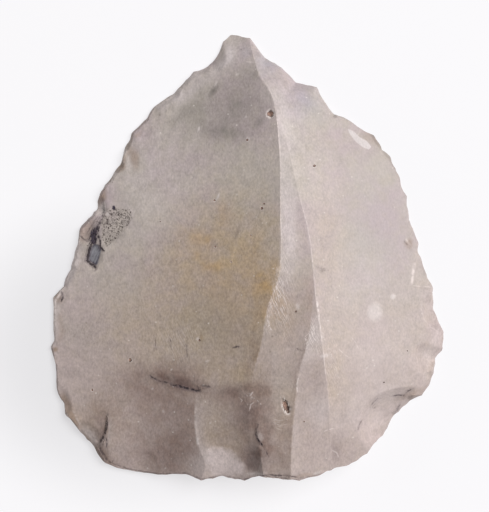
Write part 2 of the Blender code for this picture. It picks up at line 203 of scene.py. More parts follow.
# Tints on the dorsal face, each spot as its place right and up, its half width and height,
# its turn in degrees and its strength
OLIVE_STAIN = (
    (-2.2, 1.3, 6.5, 10, 8, 0.7), (3.4, -4.6, 2.2, 3.6, 0, 0.5), (-8, -14, 12, 9, 0, 0.5),
    (-11, 0.5, 5, 8, 0, 0.42), (3.6, 4, 2.4, 7, 0, 0.4), (-20, -12, 8, 7, 0, 0.3),
    (14.5, 3, 4, 11, 8, 0.34), (15.5, -18.5, 3.5, 5, 0, 0.22), (15.3, -24.5, 2.6, 3.6, 0, 0.25),
    (6.6, -27, 3, 9, 0, 0.4), (2.2, -15.5, 2.4, 8, -8, 0.6), (-1.5, -20.5, 4.5, 3, 0, 0.45),
    (-6.5, -30, 3, 5.5, 0, 0.4), (-3.1, -32.8, 3.6, 3.2, 0, 0.35), (-26.5, -29.5, 4.5, 5, 0, 0.26),
    (-10, -13, 5, 5, 0, 0.16), (-15, -1.5, 4, 3.5, 0, 0.16),
)
OCHRE_STAIN = (
    (-9.2, 3.9, 2.6, 1.4, -10, 0.34), (-6.8, 3, 0.8, 1.3, 20, 0.3),
    (-6.6, -1.6, 1.9, 1.1, -8, 0.5), (-9.4, 0.5, 0.8, 0.6, 0, 0.3), (-3.9, 7.4, 1.4, 2, 20, 0.26),
    (3.2, -5.4, 2, 2.6, 20, 0.62), (4.6, -2.4, 1.2, 2.4, 10, 0.28),
    (4.9, -7.6, 1.4, 2.8, 12, 0.34), (11.4, -8, 1.6, 5.5, 12, 0.15), (3.4, -9.5, 3.2, 3, 0, 0.3),
    (-3, -1.5, 8, 6.5, 0, 0.1), (-8.9, -14.6, 0.5, 0.6, 0, 0.5), (1.4, 0, 1.2, 2.4, 0, 0.22),
    (6.4, -10, 3, 5, 10, 0.24), (-4, -7, 9, 8, 0, 0.22), (-31.6, -28.4, 1.6, 2.4, 30, 0.22),
    (32.6, -20, 0.7, 3, -8, 0.15),
)
SLATE_CLOUD = (
    (3.2, 34.4, 2.4, 3.2, -35, 0.3), (10.2, 27.8, 3.2, 3, -35, 0.28), (-0.4, 37.2, 1, 1.2, 0, 0.2),
    (22, 3, 8, 11, 0, 0.1),
)
# Dark spots, and painted shade in the hollow near the butt, above the fissure and left of the step
# on the lower left
DARK_SPOTS_AND_PAINTED_SHADE = (
    (-12.3, -22.3, 5, 0.9, -12, 0.34), (0.2, -27.4, 1.8, 2.6, 0, 0.24),
    (0.8, -36.2, 1.5, 1.9, -8, 0.36), (-25.9, -30.8, 1, 2.2, 0, 0.3),
    (-27.5, 4.4, 0.85, 1.8, -25, 0.8), (-1.6, 4.8, 0.35, 1, -20, 0.4),
    (-2.6, -23.6, 2.4, 1.1, 0, 0.22), (-25.4, 8.3, 0.5, 2.2, 0, 0.25),
    (-26.2, -35, 0.8, 2.2, 32, 0.45), (-5.9, 29.5, 0.9, 0.35, 48, 0.35),
    (15.8, -34.6, 1.1, 2.4, 0, 0.28),
)
# Mauve clouds in the stone, and painted shade in the hollows near the butt
MAUVE_CLOUD_AND_PAINTED_SHADE = (
    (-12.2, -22, 5.2, 1.3, -14, 0.6), (-15.7, -25.6, 9.5, 5, 0, 0.23),
    (-17.4, -31.5, 11, 9, 0, 0.38), (-17, -22.4, 6.8, 2.4, -6, 0.42),
    (-12.4, -19.8, 4.2, 1.9, -8, 0.48), (6.9, -30.3, 1, 1.6, 0, 0.22),
    (-3.1, -32.4, 3, 2.2, 0, 0.15), (6, -36.6, 1.6, 1.6, 0, 0.25), (3.1, -31.8, 1, 3.6, 0, 0.5),
    (-15.5, -24.2, 6.5, 2.8, -8, 0.24), (0.6, -33.6, 2.4, 5, 0, 0.25),
    (4.9, -30.5, 3.2, 9, 0, 0.16), (-14, -35.4, 4.2, 3.2, 6, 0.78),
    (-12.2, -29.5, 2.4, 6.5, 0, 0.28), (1.2, -26.5, 3.2, 4.5, 0, 0.38),
    (-25.4, -36.2, 2.4, 1.6, -40, 0.4), (1.6, -14.5, 2, 7, -8, 0.04), (0, -15.5, 5, 7, 0, 0.13),
    (-1.6, -24, 4.4, 1.6, 3, 0.52), (-1, -25.6, 3.4, 2.2, 0, 0.45),
    (-0.6, -29.6, 2.4, 2.6, 30, 0.52), (0.8, -35.9, 2.4, 2.3, -8, 0.6),
    (-26.6, -28.6, 2.4, 3.6, 12, 0.35), (-32.2, -26.2, 0.7, 1.2, 20, 0.4),
    (11.2, -31.5, 3.4, 10, 0, 0.16), (3.3, -33.2, 1.5, 5.5, 4, 0.5), (6.4, -34, 1.8, 5, 0, 0.36),
    (3, -26.2, 1.6, 3.4, 0, 0.42), (1.1, -17.8, 0.9, 4, -8, 0.3), (12.6, -23, 0.9, 4.5, -4, 0.15),
    (16.5, -34.8, 4, 3.2, 0, 0.2), (8, -16, 4.5, 9, 0, 0.06), (9.6, -8, 3, 5, 10, 0.14),
)
GREY_CLOUD = (
    (-1.5, 27.5, 4.8, 5, 0, 0.42), (-6.5, -12, 8, 6.5, 0, 0.36), (-22.5, -4.5, 6.5, 6, 0, 0.09),
    (-28.5, -14.2, 4.5, 3, -10, 0.25), (-5.9, 29.5, 1.5, 0.45, 48, 1),
    (-10.3, 26.3, 2.8, 1.2, 45, 0.6), (-3.5, 22.3, 3, 1, -12, 0.8),
    (1.9, 24.5, 0.8, 1.7, -32, 0.7), (-2.8, 25.7, 0.8, 1.3, -30, 0.4),
    (-1.3, 27.8, 1.7, 1, 0, 0.35), (0.6, 32.6, 2.4, 2, -35, 0.35), (-5, 25.5, 7.5, 5.5, 20, 0.25),
    (-7.6, 26.4, 1.2, 0.8, 30, 0.35), (-7.5, 23.4, 5.5, 1.8, -20, 0.3),
)
# Pale spots in the stone, and painted light on slopes that face away from the lamp, as on the scar
# at the lower right and the rim of the tip
PALE_SPOTS_AND_PAINTED_LIGHT = (
    (-16.5, 13, 9, 11, 20, 0.26), (-27, -6, 7, 9, 0, 0.06), (-1.6, 36.6, 2.4, 3.4, 0, 0.22),
    (-9, 30.6, 6.5, 1.3, 41, 0.4), (-3.6, 34, 1.2, 3, -20, 0.35), (-4, 35.6, 0.9, 2.6, -25, 0.65),
    (-12.2, 29, 1, 1, 0, 0.5), (14.2, 8, 3.6, 11, 10, 0.3), (7.4, 5.5, 1.6, 8, 2, 0.38),
    (6.4, -22.4, 1.7, 2, 0, 0.45), (6.6, -26.2, 1.9, 2.3, 0, 0.4), (-8, -36.6, 1.5, 2.4, 0, 0.55),
    (24, -26.6, 7, 3.4, 25, 0.16), (17, -27, 3, 4, 0, 0.2), (33.9, -14.3, 1, 2.2, 12, 0.15),
    (6.6, 24, 1.5, 7, 8, 0.22), (32.5, -20, 0.7, 3.4, -8, 0.4), (33, -17, 1.6, 1.2, 0, 0.35),
    (22.5, -19.5, 7, 6, 0, 0.16), (-29.4, -30.9, 1.2, 1.6, 38, 0.45), (4.2, 29, 2.6, 3, 0, 0.12),
    (-28.4, -32.1, 2.2, 0.7, -45, 0.75), (11.4, -14.6, 1.4, 4, -18, 0.35),
    (12.8, -27, 2.2, 3.5, 0, 0.42), (3.6, -22.8, 2.6, 1.4, 0, 0.28), (5, -26.6, 1.4, 2.4, 0, 0.2),
    (6.9, -33.8, 1, 1.6, 0, 0.18), (-10.2, -35.2, 1, 2.6, 0, 0.16), (18.5, -3.5, 5.5, 6, 0, 0.22),
    (5.8, -7.5, 1.2, 4, 14, 0.12), (-9.6, -37.2, 1.4, 1.4, 0, 0.2), (-3.1, -2.3, 1.8, 2.2, 0, 0.1),
    (12.6, 2, 1, 2.2, 0, 0.22), (12.8, -13.5, 1.2, 3.5, -10, 0.25),
    (-9.9, 31.8, 2.4, 0.7, 42, 0.55), (-13.6, 28.4, 2.6, 0.7, 42, 0.55),
    (-31.3, -1.2, 0.8, 4.2, -17, 0.55), (-34.4, -12, 0.6, 5, 0, 0.35),
    (-7.4, -29, 2, 4.6, 0, 0.22), (6.6, -21, 2, 3, 0, 0.15),
)
# Crisp pale spots; the one beside the hinge near the butt is a painted highlight on a small lens
CRISP_PALE = (
    (22.9, -9.8, 1.4, 1.7, 0, 0.55), (-5.3, 10.8, 0.22, 0.7, -25, 0.8),
    (26.1, -7.1, 0.45, 0.5, 0, 0.75), (-20, 15, 0.2, 0.2, 0, 0.6), (-8.9, -14.6, 0.3, 0.3, 0, 0.6),
    (-27.4, 11.6, 0.25, 0.25, 0, 0.6), (2.35, -32.1, 0.5, 0.85, 20, 0.28),
    (-8.9, -33, 0.25, 0.7, 4, 0.75), (13.8, -17.6, 0.9, 0.3, 10, 0.55),
    (-5.6, 31.2, 0.2, 0.3, 0, 0.6), (-1.8, 32.7, 0.25, 0.2, 0, 0.6),
    (-0.3, 25.1, 0.2, 0.25, 0, 0.6), (-8.7, 23, 0.2, 0.4, -20, 0.8),
    (0.1, 21.3, 0.3, 0.25, 0, 0.6), (4.2, 21.2, 0.2, 0.2, 0, 0.5), (-25.1, 7.7, 0.3, 0.25, 0, 0.8),
    (-17, -23.5, 0.25, 0.2, 0, 0.5), (-13.6, -20.1, 0.2, 0.2, 0, 0.6),
    (-15, -27.6, 0.2, 0.2, 0, 0.5), (-11.6, -35.2, 0.2, 0.2, 0, 0.5),
    (1.4, -38.8, 1.6, 0.3, 0, 0.45), (12.6, -38.6, 0.8, 0.3, 20, 0.5),
    (-7.2, -18.6, 0.3, 0.25, 0, 0.5), (9, -8.8, 0.3, 0.6, 20, 0.5),
)
TAN_EDGE = (
    (-26.2, 11, 0.75, 1.7, -6, 0.75), (-24.6, 13.8, 0.5, 1.2, -35, 0.6),
    (-22.8, 16, 0.6, 0.9, -35, 0.65), (-22.4, 17.2, 0.5, 1.4, -14, 0.45),
    (-20.5, 18, 1, 2.1, 10, 0.55), (-21.6, 19.4, 0.4, 1, -20, 0.4), (-29, 5, 1.5, 2.6, -32, 0.5),
    (-32.5, -26, 1, 1.5, 20, 0.65), (-30.6, -29.7, 0.9, 1.7, 38, 0.55),
    (-31.7, -27.9, 0.9, 1.7, 30, 0.55), (-33.3, -24.8, 0.7, 1, 20, 0.55),
    (-33.7, -12.6, 0.8, 2.6, 0, 0.28), (-34.4, -16.6, 0.6, 0.7, 0, 0.75),
    (-34, -7.1, 0.7, 1.3, 0, 0.6), (22.6, 21.6, 1.2, 2.6, 50, 0.35),
    (28.6, 2.7, 0.7, 0.9, 0, 0.55), (-26, -35.2, 0.7, 2.6, 32, 0.6), (9.8, -39.2, 3, 0.4, 0, 0.5),
    (30, -24.5, 3.4, 0.8, 20, 0.4), (-19.8, 22.2, 0.4, 0.9, -40, 0.35),
)
INK_SPOT = (
    (-27.6, 3, 0.65, 0.8, -20, 0.9), (-27.7, 4.2, 0.6, 0.9, -20, 0.42),
    (-27, 5.3, 0.4, 0.9, -35, 0.38), (-25.8, 8.5, 0.3, 0.65, 10, 1),
    (-23.9, 8.9, 0.25, 0.45, 20, 0.9),
)
# Patches, as the corners of their outlines
BLUE_WINDOW = (
    (-28.2, 1.9), (-28.6, 0.5), (-28.6, -0.7), (-27.1, -1.7), (-26.7, -1.2), (-26.2, 0.7),
    (-26, 1.6), (-26.7, 2.4), (-27.5, 2.6),
)
PALE_LEAF = (
    (18, 23.1), (19, 22.7), (20.2, 21.6), (21.5, 20.9), (22.3, 19.8), (21.8, 19.3), (20.6, 19.8),
    (19.3, 20.9), (18.4, 22.1),
)
CORTEX = (
    (-25.7, 8.7), (-24, 9), (-21.2, 8.6), (-20.5, 6.9), (-21.7, 5.3), (-22.7, 3.4), (-25.3, 1.9),
    (-26.4, 3.4), (-26.2, 4.9), (-26.4, 6.4),
)
BUTT_CHIP = (
    (-7.6, -34.5), (-4.6, -34.1), (-2.2, -35.2), (-0.6, -37), (-0.1, -39.4), (-7, -39.4),
)
# Where the stone is specked with soot, and where it is calmer, as spots again
SPECKED = (
    (-28.9, -15.2, 2.6, 1.6, 0, 0.9), (-20, -20.2, 1.6, 1, 0, 0.6), (-2, 6, 7, 6, 0, 0.6),
    (-28.8, 5, 1.6, 2, 0, 0.9), (-24, 5.5, 5, 3.5, 54, 0.4), (11.5, -22, 3, 1.5, 0, 0.5),
    (13.5, -2.2, 1.8, 1.2, 0, 0.8),
)
CALM = ((23, 12, 13, 26, 0, 0.9), (22, -24, 12, 12, 0, 0.55))
# Below this height the clouds cross the main ridge; above it little of a stain does
CLOUDED = -21.0
CLOUDED_FADE = 5
SPILL = 0.15
# Where fine splits in the surface show, as spots
HACKLE = (
    (5.1, -5.5, 1.6, 6.6, 12, 1), (7.2, -3, 1.2, 3.5, 14, 0.3), (11.5, -13.6, 0.9, 3.4, 18, 1),
    (-12, -15, 4, 4, 0, 0.25), (6.5, 4, 0.7, 12, 0, 0.25), (15, -19.5, 2.2, 4.5, 0, 0.3),
)
# Short dark strokes beside the cortex, given as the hackles below are
INK_ROWS = (
    ((-28.3, 3.3), (-26.4, 6.6), 9, 1.2, -28, 1.1), ((-27.6, 2.9), (-26.6, 5.4), 6, 1.4, -20, 1.2),
    ((-28.6, 4.8), (-27, 7), 6, 0.7, -30, 0.5),
)
# Rows of hackles, the fine splits beside a ridge: first and last place, how many, their
# length, their lean in degrees, and their strength
HACKLE_ROWS = (
    ((5.6, -2.2), (3.3, -13), 15, 1.9, 22, 0.6), ((6.8, -1), (5, -9.5), 9, 1.4, 32, 0.25),
    ((12.3, -10.6), (10.3, -16), 9, 1.3, 20, 0.6), ((13.4, -13.5), (16.6, -22), 13, 1.2, 36, 0.42),
    ((-1.2, -24), (2.4, -26.2), 7, 0.7, 32, 0.5),
)
# A ridge between scars from the butt, from the butt up
SCAR_RIDGE = (
    (7.72, -39.8), (7.8, -34.6), (8.25, -29.2), (8.6, -26.5), (9.1, -24.2), (8.7, -22.6),
    (9.1, -20.6), (10.4, -16.6), (12.4, -10.4),
)
# Light and shade that start at a line, on its right hand, and fade: places, reach and strength
LIGHT_SIDES = (
    (((4.4, -26.5), (4.3, -22.5), (4.4, -19), (4.6, -15)), 1.7, 0.26),
    (((-6.9, -38.6), (-7.6, -36.6), (-8.6, -34.6), (-9.1, -33), (-9.4, -30), (-9.4, -27.5),
      (-9, -24.8)), 2.2, 0.72),
    (SCAR_RIDGE, 0.8, 0.12),
    (((-25.7, -34.2), (-25.1, -32.6), (-24.9, -31), (-25.1, -29)), 0.5, 0.85),
    (((2.8, -33.9), (2.1, -33), (1.6, -31.7), (1.7, -30.3)), 0.7, 0.6),
    (((2.8, -12.5), (3.3, -8.6), (4, -4.5), (5.25, -1.5), (5.8, 2), (5.85, 8), (5.85, 16),
      (5.7, 20), (5.2, 26), (3.8, 30), (2.5, 32.3)), 2.6, 0.36),
)
DARK_SIDES = (
    (SCAR_RIDGE[::-1], 1, 0.3),
    (((2.7, -33.9), (2.5, -36), (1.9, -38.5)), 1.8, 0.8),
    (((1.6, -24), (2.2, -27), (1.7, -30.3), (1.7, -31.7), (2.8, -33.9)), 2.4, 0.22),
    (((-25.2, -28), (-25.2, -30.1), (-25.5, -31.7), (-26.4, -33.3)), 1.5, 0.75),
    (((-6.2, -23.2), (-8.3, -24), (-9.9, -23.6), (-11.5, -23.1), (-13.7, -22.4), (-17.5, -20.9)),
      0.8, 0.75),
    (((-9.2, -24.6), (-9.4, -27.5), (-9.4, -30), (-9.1, -33), (-8.6, -34.6), (-8, -36)), 2.2, 0.3),
    (((9.2, 12), (10.4, 6), (11, 2), (11.9, -2.5), (12.5, -7.7), (12.7, -10.2)), 2.2, 0.14),
)

# Thin marks: the places along each, then its half width and its strength. Where a dark line runs
# below the lip of a step, it is partly painted shadow
DARK_LINES = (
    (((-18.2, -21), (-15.8, -22.2), (-14.2, -22.5), (-12.6, -22.9)), 0.16, 0.65),
    (((-14.2, -22.6), (-12, -23.2), (-10.4, -23.6), (-9.2, -23.9), (-8, -23.9)), 0.2, 1.2),
    (((-8.4, -23), (-7.2, -23.1), (-6.4, -23.4)), 0.16, 0.45),
    (((1.7, -31), (1.5, -31.8), (2, -32.8), (2.9, -33.9)), 0.12, 1),
    (((2, -29.8), (1.8, -30.3), (1.6, -30.9)), 0.12, 0.35),
    (((3.2, -34.4), (3.5, -35.2), (3.9, -36)), 0.12, 0.5),
    (((-25.1, -28.8), (-25.2, -30.6), (-25.6, -31.8), (-26.4, -33.2), (-26.9, -33.8)), 0.12, 0.78),
    (((-26.9, -33.4), (-26.2, -34.8), (-25.3, -36.3), (-23.9, -37.4)), 0.22, 0.48),
    (((-25.6, -31.9), (-25.2, -33), (-25.3, -34.3)), 0.12, 0.6),
    (((8.6, -16.3), (9.6, -16.7), (10.3, -16.6)), 0.11, 0.35),
    (((-2.8, -16.3), (-1.9, -16), (-1.2, -16.1)), 0.12, 0.75),
    (((19.8, -31.2), (20, -30.2), (20.6, -29)), 0.12, 0.4),
    (((22, -27.1), (22.4, -26.2), (23.2, -25.4), (24.2, -25.2)), 0.1, 0.32),
    (((22.6, -27.2), (23.2, -26.6)), 0.1, 0.4),
    (((25.8, -25), (27.2, -24.7), (28.6, -25)), 0.1, 0.6),
    (((28.4, -24.3), (28.9, -23.9), (29.5, -23.7)), 0.13, 0.6),
    (((27.5, -26.4), (27, -27.2), (26.3, -28.3)), 0.13, 0.5),
    (((1.7, -39.2), (3.8, -39), (6.8, -39.1), (9.8, -39.5)), 0.12, 0.65),
    (((28.1, 3.2), (28.3, 2.6), (28.9, 2.1)), 0.1, 0.2),
    (((-27.7, 2.9), (-28.2, 1.9), (-28.6, 0.5), (-28.7, -0.6), (-28.3, -1.1), (-27.1, -1.8),
      (-26.8, -1.5)), 0.17, 3.5),
    (((-27.3, 1.8), (-27.5, 3.6), (-26.9, 5.2), (-26.1, 7)), 0.15, 0.8),
    (((-26.9, 4.3), (-26.5, 3), (-26.4, 1.8), (-25.7, 1.2)), 0.15, 1.5),
    (((-26.5, 1.9), (-26.1, 1.5), (-25.6, 1.1)), 0.13, 2.6),
    (((-25.7, 9), (-25.8, 8.3), (-26.1, 7.6)), 0.16, 2.2),
    (((-26, 10.6), (-25.8, 8.9), (-26.1, 7.2), (-26.6, 6.2)), 0.12, 0.6),
    (((-30.2, 4), (-29.4, 3.2), (-28.6, 2.8)), 0.14, 0.45),
    (((-33.4, -6), (-33.2, -7.2), (-33.5, -8.1)), 0.16, 1),
    (((12.2, -1.8), (13.5, -2.3), (14, -2)), 0.25, 0.3),
    (((-16.6, -14.2), (-16.4, -16.8)), 0.15, 0.25), (((-14, -13.2), (-13.6, -16.6)), 0.15, 0.35),
    (((-11, -15), (-10.8, -18.2)), 0.15, 0.35), (((-1.4, 37.2), (-0.4, 37.6)), 0.12, 0.3),
)
PALE_LINES = (
    (((-35, -14.6), (-34.6, -11), (-34.5, -7.8), (-32.5, -5)), 0.24, 0.85),
    (((-32.9, -5.2), (-31.5, -2.2), (-30.4, 2.2), (-30, 4.6)), 0.24, 0.95),
    (((-16.4, 26.9), (-12.9, 29.2), (-9.4, 33), (-6.1, 34.6)), 0.22, 0.6),
    (((-9, -24.8), (-9.3, -27.4), (-9.3, -30), (-9, -32.6)), 0.26, 0.4),
    (((30.1, -0.8), (29.7, -3), (29.5, -5.1)), 0.28, 0.85),
    (((29.5, -5.1), (31, -5.2), (33.4, -5.4)), 0.13, 0.5),
    (((28.4, 3.4), (28.8, 2.8), (29.3, 2.2)), 0.18, 0.6),
    (((31.5, -6.8), (31.2, -9), (31.6, -11), (33, -12.6), (34.7, -13.6)), 0.1, 0.3),
    (((18.6, -14.2), (19.4, -15.4), (20, -16.6)), 0.12, 0.5),
    (((15.9, -16.1), (17.2, -17.2), (18.2, -18)), 0.12, 0.45),
    (((13.4, -31.3), (14.4, -30.9), (15.6, -30.6)), 0.12, 0.6),
    (((14.9, -34.4), (16, -35), (16.4, -36)), 0.13, 0.4),
    (((-0.4, 35.1), (1.6, 34.9)), 0.13, 0.55),
    (((12.4, -6.4), (12.7, -9.7), (13, -12.4), (13.5, -15.4)), 0.17, 1.1),
    (((13.6, -16.5), (13.7, -18.5), (14, -21.3)), 0.13, 0.6),
    (((3.5, -9.6), (3.7, -11.2), (4, -12.5), (4.5, -13.4)), 0.16, 1),
    (((10.2, -14.3), (10.7, -15.5), (10.4, -16.6)), 0.2, 0.95),
    (((-31.4, -27.2), (-30.6, -29), (-29.6, -30.6)), 0.2, 0.4),
    (((1.1, -23.9), (0.6, -24.7), (1, -25.3)), 0.12, 0.7),
    (((4, -28.6), (5.6, -29.3), (7.4, -28.9)), 0.1, 0.35),
    (((4.2, -29.4), (5.8, -30.1), (7.4, -29.8)), 0.1, 0.3),
    (((4.6, -30.3), (6, -30.9), (7.2, -30.7)), 0.1, 0.25),
    (((9, -24.4), (8.8, -22.9), (9.2, -20.9)), 0.16, 0.8),
    (((1.3, -25.9), (0.6, -26.4), (0.3, -27.6)), 0.12, 0.6),
    (((-1.6, -25), (-0.9, -25.6), (-1.3, -26.3)), 0.11, 0.4),
)
# Steps in the surface: places along the lip, the drop to its right and how far that reaches
STEPS = (
    (((-25, -27.6), (-25.2, -29.5), (-25.5, -31.5), (-26.2, -33), (-27.4, -34.2)), 0.42, 1.6),
    (((2, -29.8), (1.5, -30.9), (1.6, -31.9), (2.2, -33.2), (3.4, -34.6)), 0.24, 1.3),
    (((7, -15.6), (8.9, -16.5), (10.4, -16.8)), 0.14, 1.2),
    (((19.6, -31.4), (20.6, -29), (22, -26.8), (24, -25.5), (27.2, -24.6), (30, -23.4)), 0.05, 2.2),
    (((33.6, -5.6), (29.5, -5.2), (29.8, -3), (30.3, -0.6)), 0.16, 1),
    (((34.8, -13.8), (33, -12.7), (31.6, -11), (31.2, -9), (31.6, -6.6)), 0.16, 1.2),
    (((-6.2, -23.2), (-9.9, -23.6), (-13.4, -22.5), (-17, -21)), 0.1, 1),
)
# Shallow hollows, each as a spot with its depth in mm
HOLLOWS = (
    (4.15, 25.7, 0.6, 0.6, 0, 0.3), (6.95, -26.7, 0.5, 1.25, 22, 0.35),
    (-27.3, 0.1, 1.15, 1.9, -18, 0.3), (-23.9, 6, 4.1, 2.3, 54, 0.12),
    (-28.2, 4.2, 1.2, 2.2, 14, 0.22), (-20.9, -18.4, 0.3, 0.3, 0, 0.15),
    (7.2, 31, 1.6, 1.2, -40, 0.12), (1.2, -36.6, 1.8, 2.4, -8, 0.3),
    (-20.4, 18.2, 1.4, 2.4, 10, 0.1),
)
# Small round pits as their place right and up and their radius, and a long one as a spot
PITS = (
    (4.15, 25.7, 0.6), (-21, -18.4, 0.32), (-27.8, -23.8, 0.22), (0, 21, 0.22), (12, 16.4, 0.24),
    (28.7, -16.8, 0.14), (24.5, -22.4, 0.13), (-15.6, 6.4, 0.12), (-5.7, 1.9, 0.16),
    (-2.9, -0.8, 0.13), (-5.9, 10.2, 0.2), (2.6, 8.8, 0.24), (3, 9.6, 0.14), (-8.6, -14.9, 0.2),
    (10.2, -29.4, 0.15), (0.6, 3.9, 0.15), (8.7, -9.7, 0.17),
)
LONG_PIT = (6.85, -26.6, 0.5, 1.25, 19)
# How the short strokes vary: scatter in mm, turn in degrees, bend and half width in mm, and half
# length and strength as shares
STROKE_SCATTER = 0.15
STROKE_TURN = 6
STROKE_BEND = (0.08, 0.0)
STROKE_HALF_WIDTH = (0.06, 0.10)
STROKE_HALF_LENGTH = (0.3, 0.6)
STROKE_STRENGTH = (0.6, 1.2)
# The share of a thin mark over which it fades at each end, and the largest offset from one that
# is kept, in its half widths
MARK_FADE = 0.18
FARTHEST_OFFSET = 9
# How far off a thin mark shows, in mm, and how far off a step in the surface does
MARK_REACH = 0.45
STEP_REACH = 4.0
# Light and shade beside a line: how far they are followed, in their reaches, how they fall off,
# and the offset over which they start, in mm
SIDE_EXTENT = 2.5
SIDE_FALL = 1.3
SIDE_START = 0.1
# How crisp the outlines of the hollows are, as the power by which they fall off
HOLLOW_CRISPNESS = 6
# Painted ridge highlights: the ridge, the first and last share along it, how far aside in mm, half
# width and strength; and a dark line inside the butt: how far inside, half width and strength
RIDGE_HIGHLIGHTS = ((RIGHT_RIDGE, 0.33, 0.66, 0, 0.12, 0.6), (MAIN_RIDGE, 0.42, 0.93, 0.05, 0.14, 0.6))
RIDGE_POINTS = 9
BUTT_LINE = (0.16 * MM, 0.11, 0.38)
# How far the soft marks sway from their places, in swells of what size, and the slices of the
# noise for the sway across and along
SWAY = 0.9 * MM
SWAY_SIZE = 3.0 * MM
SWAY_SHIFTS = (1.5, 7.5)

# Swells of the dorsal face, and of the cortex: height in mm, size, and slice of the noise
SWELLS = ((0.035, 6.5 * MM, 3.5), (0.012, 1.9 * MM, 5.5))
CORTEX_SWELLS = (0.06, 0.8 * MM, 9.5)
CORTEX_RIM = 0.4
# The raggedness and the notches of the edge: size of their swells round the flake as a circle
# of radius 1, and slice of the noise; the edge between notches stands out by NOTCH_REST of them
RAGGED_SWELLS = (0.022, 11.5)
NOTCH_SWELLS = (0.055, 3.5)
NOTCH_REST = 0.15
# The small scars of the edge: how far they overlap, the power of their bowls, and the share of
# the length above the middle from where they are shallower, near the tip
RETOUCH_OVERLAP = 1.04
RETOUCH_BOWL = 0.7
NEAR_THE_TIP = 0.42
# How the inside of the grid is rounded: turns about the centre, how many of them are smoothed
# over, and the power by which the outline's corners die away inwards
SMOOTH_TURNS = 180
SMOOTHED_OVER = 13
ROUNDED_INSIDE = 5
# How far along the grid follows the ridge between the scars from the butt
BUTT_RIDGE_END = 0.25

# The nearness to a pit where none has been found yet
FAR_FROM_PITS = 9.0

# Colours of the stone and its marks, as red, green and blue
PINKISH_STONE = (0.455, 0.376, 0.378)
YELLOWISH_STONE = (0.46, 0.406, 0.37)
STONE_BY_THE_BUTT = (0.466, 0.382, 0.36)
WARM_STONE = (0.45, 0.36, 0.24)
CORTEX_CRUST = (0.385, 0.335, 0.295)
CORTEX_HOLLOW = (0.075, 0.055, 0.05)
DARK_GLAZE = (0.06, 0.052, 0.072)
BLUE_GLAZE = (0.235, 0.23, 0.25)
INK = (0.045, 0.036, 0.052)
CHIPPED_STONE = (0.63, 0.535, 0.52)
CHALK = (0.7, 0.64, 0.6)
SOOT = (0.14, 0.115, 0.085)
CRACK_AND_STEP_SHADOW = (0.036, 0.026, 0.032)
PAINTED_SHADE_BESIDE_CRACKS = (0.085, 0.055, 0.068)
HACKLED_STONE = (0.68, 0.6, 0.57)
SCRATCHED_STONE = (0.72, 0.63, 0.6)
CRISP_SPOT = (0.68, 0.61, 0.59)
LEAF = (0.66, 0.6, 0.59)
PIT_RIM = (0.74, 0.66, 0.62)
PIT_BOTTOM = (0.085, 0.045, 0.038)
PIT_RUST = (0.34, 0.2, 0.15)
FRESH_SCAR = (0.68, 0.6, 0.56)
WORN_SCAR = (0.33, 0.25, 0.2)
# Clouds and stains in the order they are laid; the pale, mauve and dusk marks also carry painted
# light and painted shade
STAIN_COLOURS = (
    ("pale", (0.62, 0.55, 0.545)), ("olive", (0.405, 0.312, 0.212)),
    ("ochre", (0.43, 0.275, 0.125)), ("grey", (0.235, 0.21, 0.19)), ("slate", (0.26, 0.27, 0.35)),
    ("mauve", (0.185, 0.12, 0.098)), ("tan", (0.3, 0.215, 0.165)),
    ("dusk", (0.105, 0.08, 0.084)),
)
FLINT_SHINE = 0.3

# How fine the stone's textures are, in swells or cells to the metre
BROAD_CLOUDS = 95
WARMTH = 380
PATCHES = 420
MOTTLE = 1050
FINE_GRAIN = 3100
GAPS = 1700
WORMS = 2000
HOLES = 1500
CHALK_FLECKS = 620
IRON_SPECKS = 430
GRAIN_STRETCH = (1, 0.62, 1)
# Drawn-out textures: their width, their length and their turn in degrees
VEINS = (0.45 * MM, 2.2 * MM, -28)
SPLITS = (0.19 * MM, 1.5 * MM, 22)

# Fine relief in the material, in metres
GRAIN_RELIEF = 0.014 * MM
HACKLE_RELIEF = 0.04 * MM
SCRATCH_RELIEF = 0.03 * MM
CRACK_DEPTH = 0.12 * MM
HOLE_DEPTH = 0.12 * MM
PIT_DEPTH = 0.3 * MM

# The table, which glows as if lit from below, and less at a spot on the lower left, a painted
# shadow of the flake given as its centre and half sizes in metres, with the glow at that spot and
# away from it
FLOOR_SIZE = 3.0
TABLE_COLOUR = (0.2, 0.2, 0.207)
TABLE_LIGHT = (1, 0.985, 1)
PAINTED_SHADOW_SPOT = (-0.019, -0.017, 0.043, 0.033)
TABLE_GLOW = (0.59, 0.75)

# Lamps: name, the direction they shine from, their width in metres and their power in watts
LAMPS = (("key", (0.62, 0.2, 0.76), 1.3, 32), ("fill", (-0.9, 0.1, 0.32), 0.8, 3.5))
LAMP_DISTANCE = 1.6
SKY_STRENGTH = 0.14

# The camera: its lens and sensor in mm, and what it takes in
LENS = 1000
SENSOR = 36
FRAME_HEIGHT = 91.96 * MM
VIEW_CENTRE = (-0.5 * MM, 0.23 * MM)


def profile(points, along):
    """Smooth curve through a few (along, value) stations, read at any place along."""
    stations = np.array([p[0] for p in points])
    values = np.array([p[1] for p in points])
    slopes = np.gradient(values, stations)
    place = np.clip(along, stations[0], stations[-1])
    k = np.clip(np.searchsorted(stations, place) - 1, 0, len(stations) - 2)
    span = stations[k + 1] - stations[k]
    u = (place - stations[k]) / span
    start = (1 + 2 * u) * (1 - u) ** 2 * values[k] + u * (1 - u) ** 2 * span * slopes[k]
    end = u ** 2 * (3 - 2 * u) * values[k + 1] - u ** 2 * (1 - u) * span * slopes[k + 1]
    return start + end


def to_metres(across, along):
    return across * WIDTH / 2, (along - 0.5) * LENGTH


def to_shares(x, y):
    return x / (WIDTH / 2), y / LENGTH + 0.5


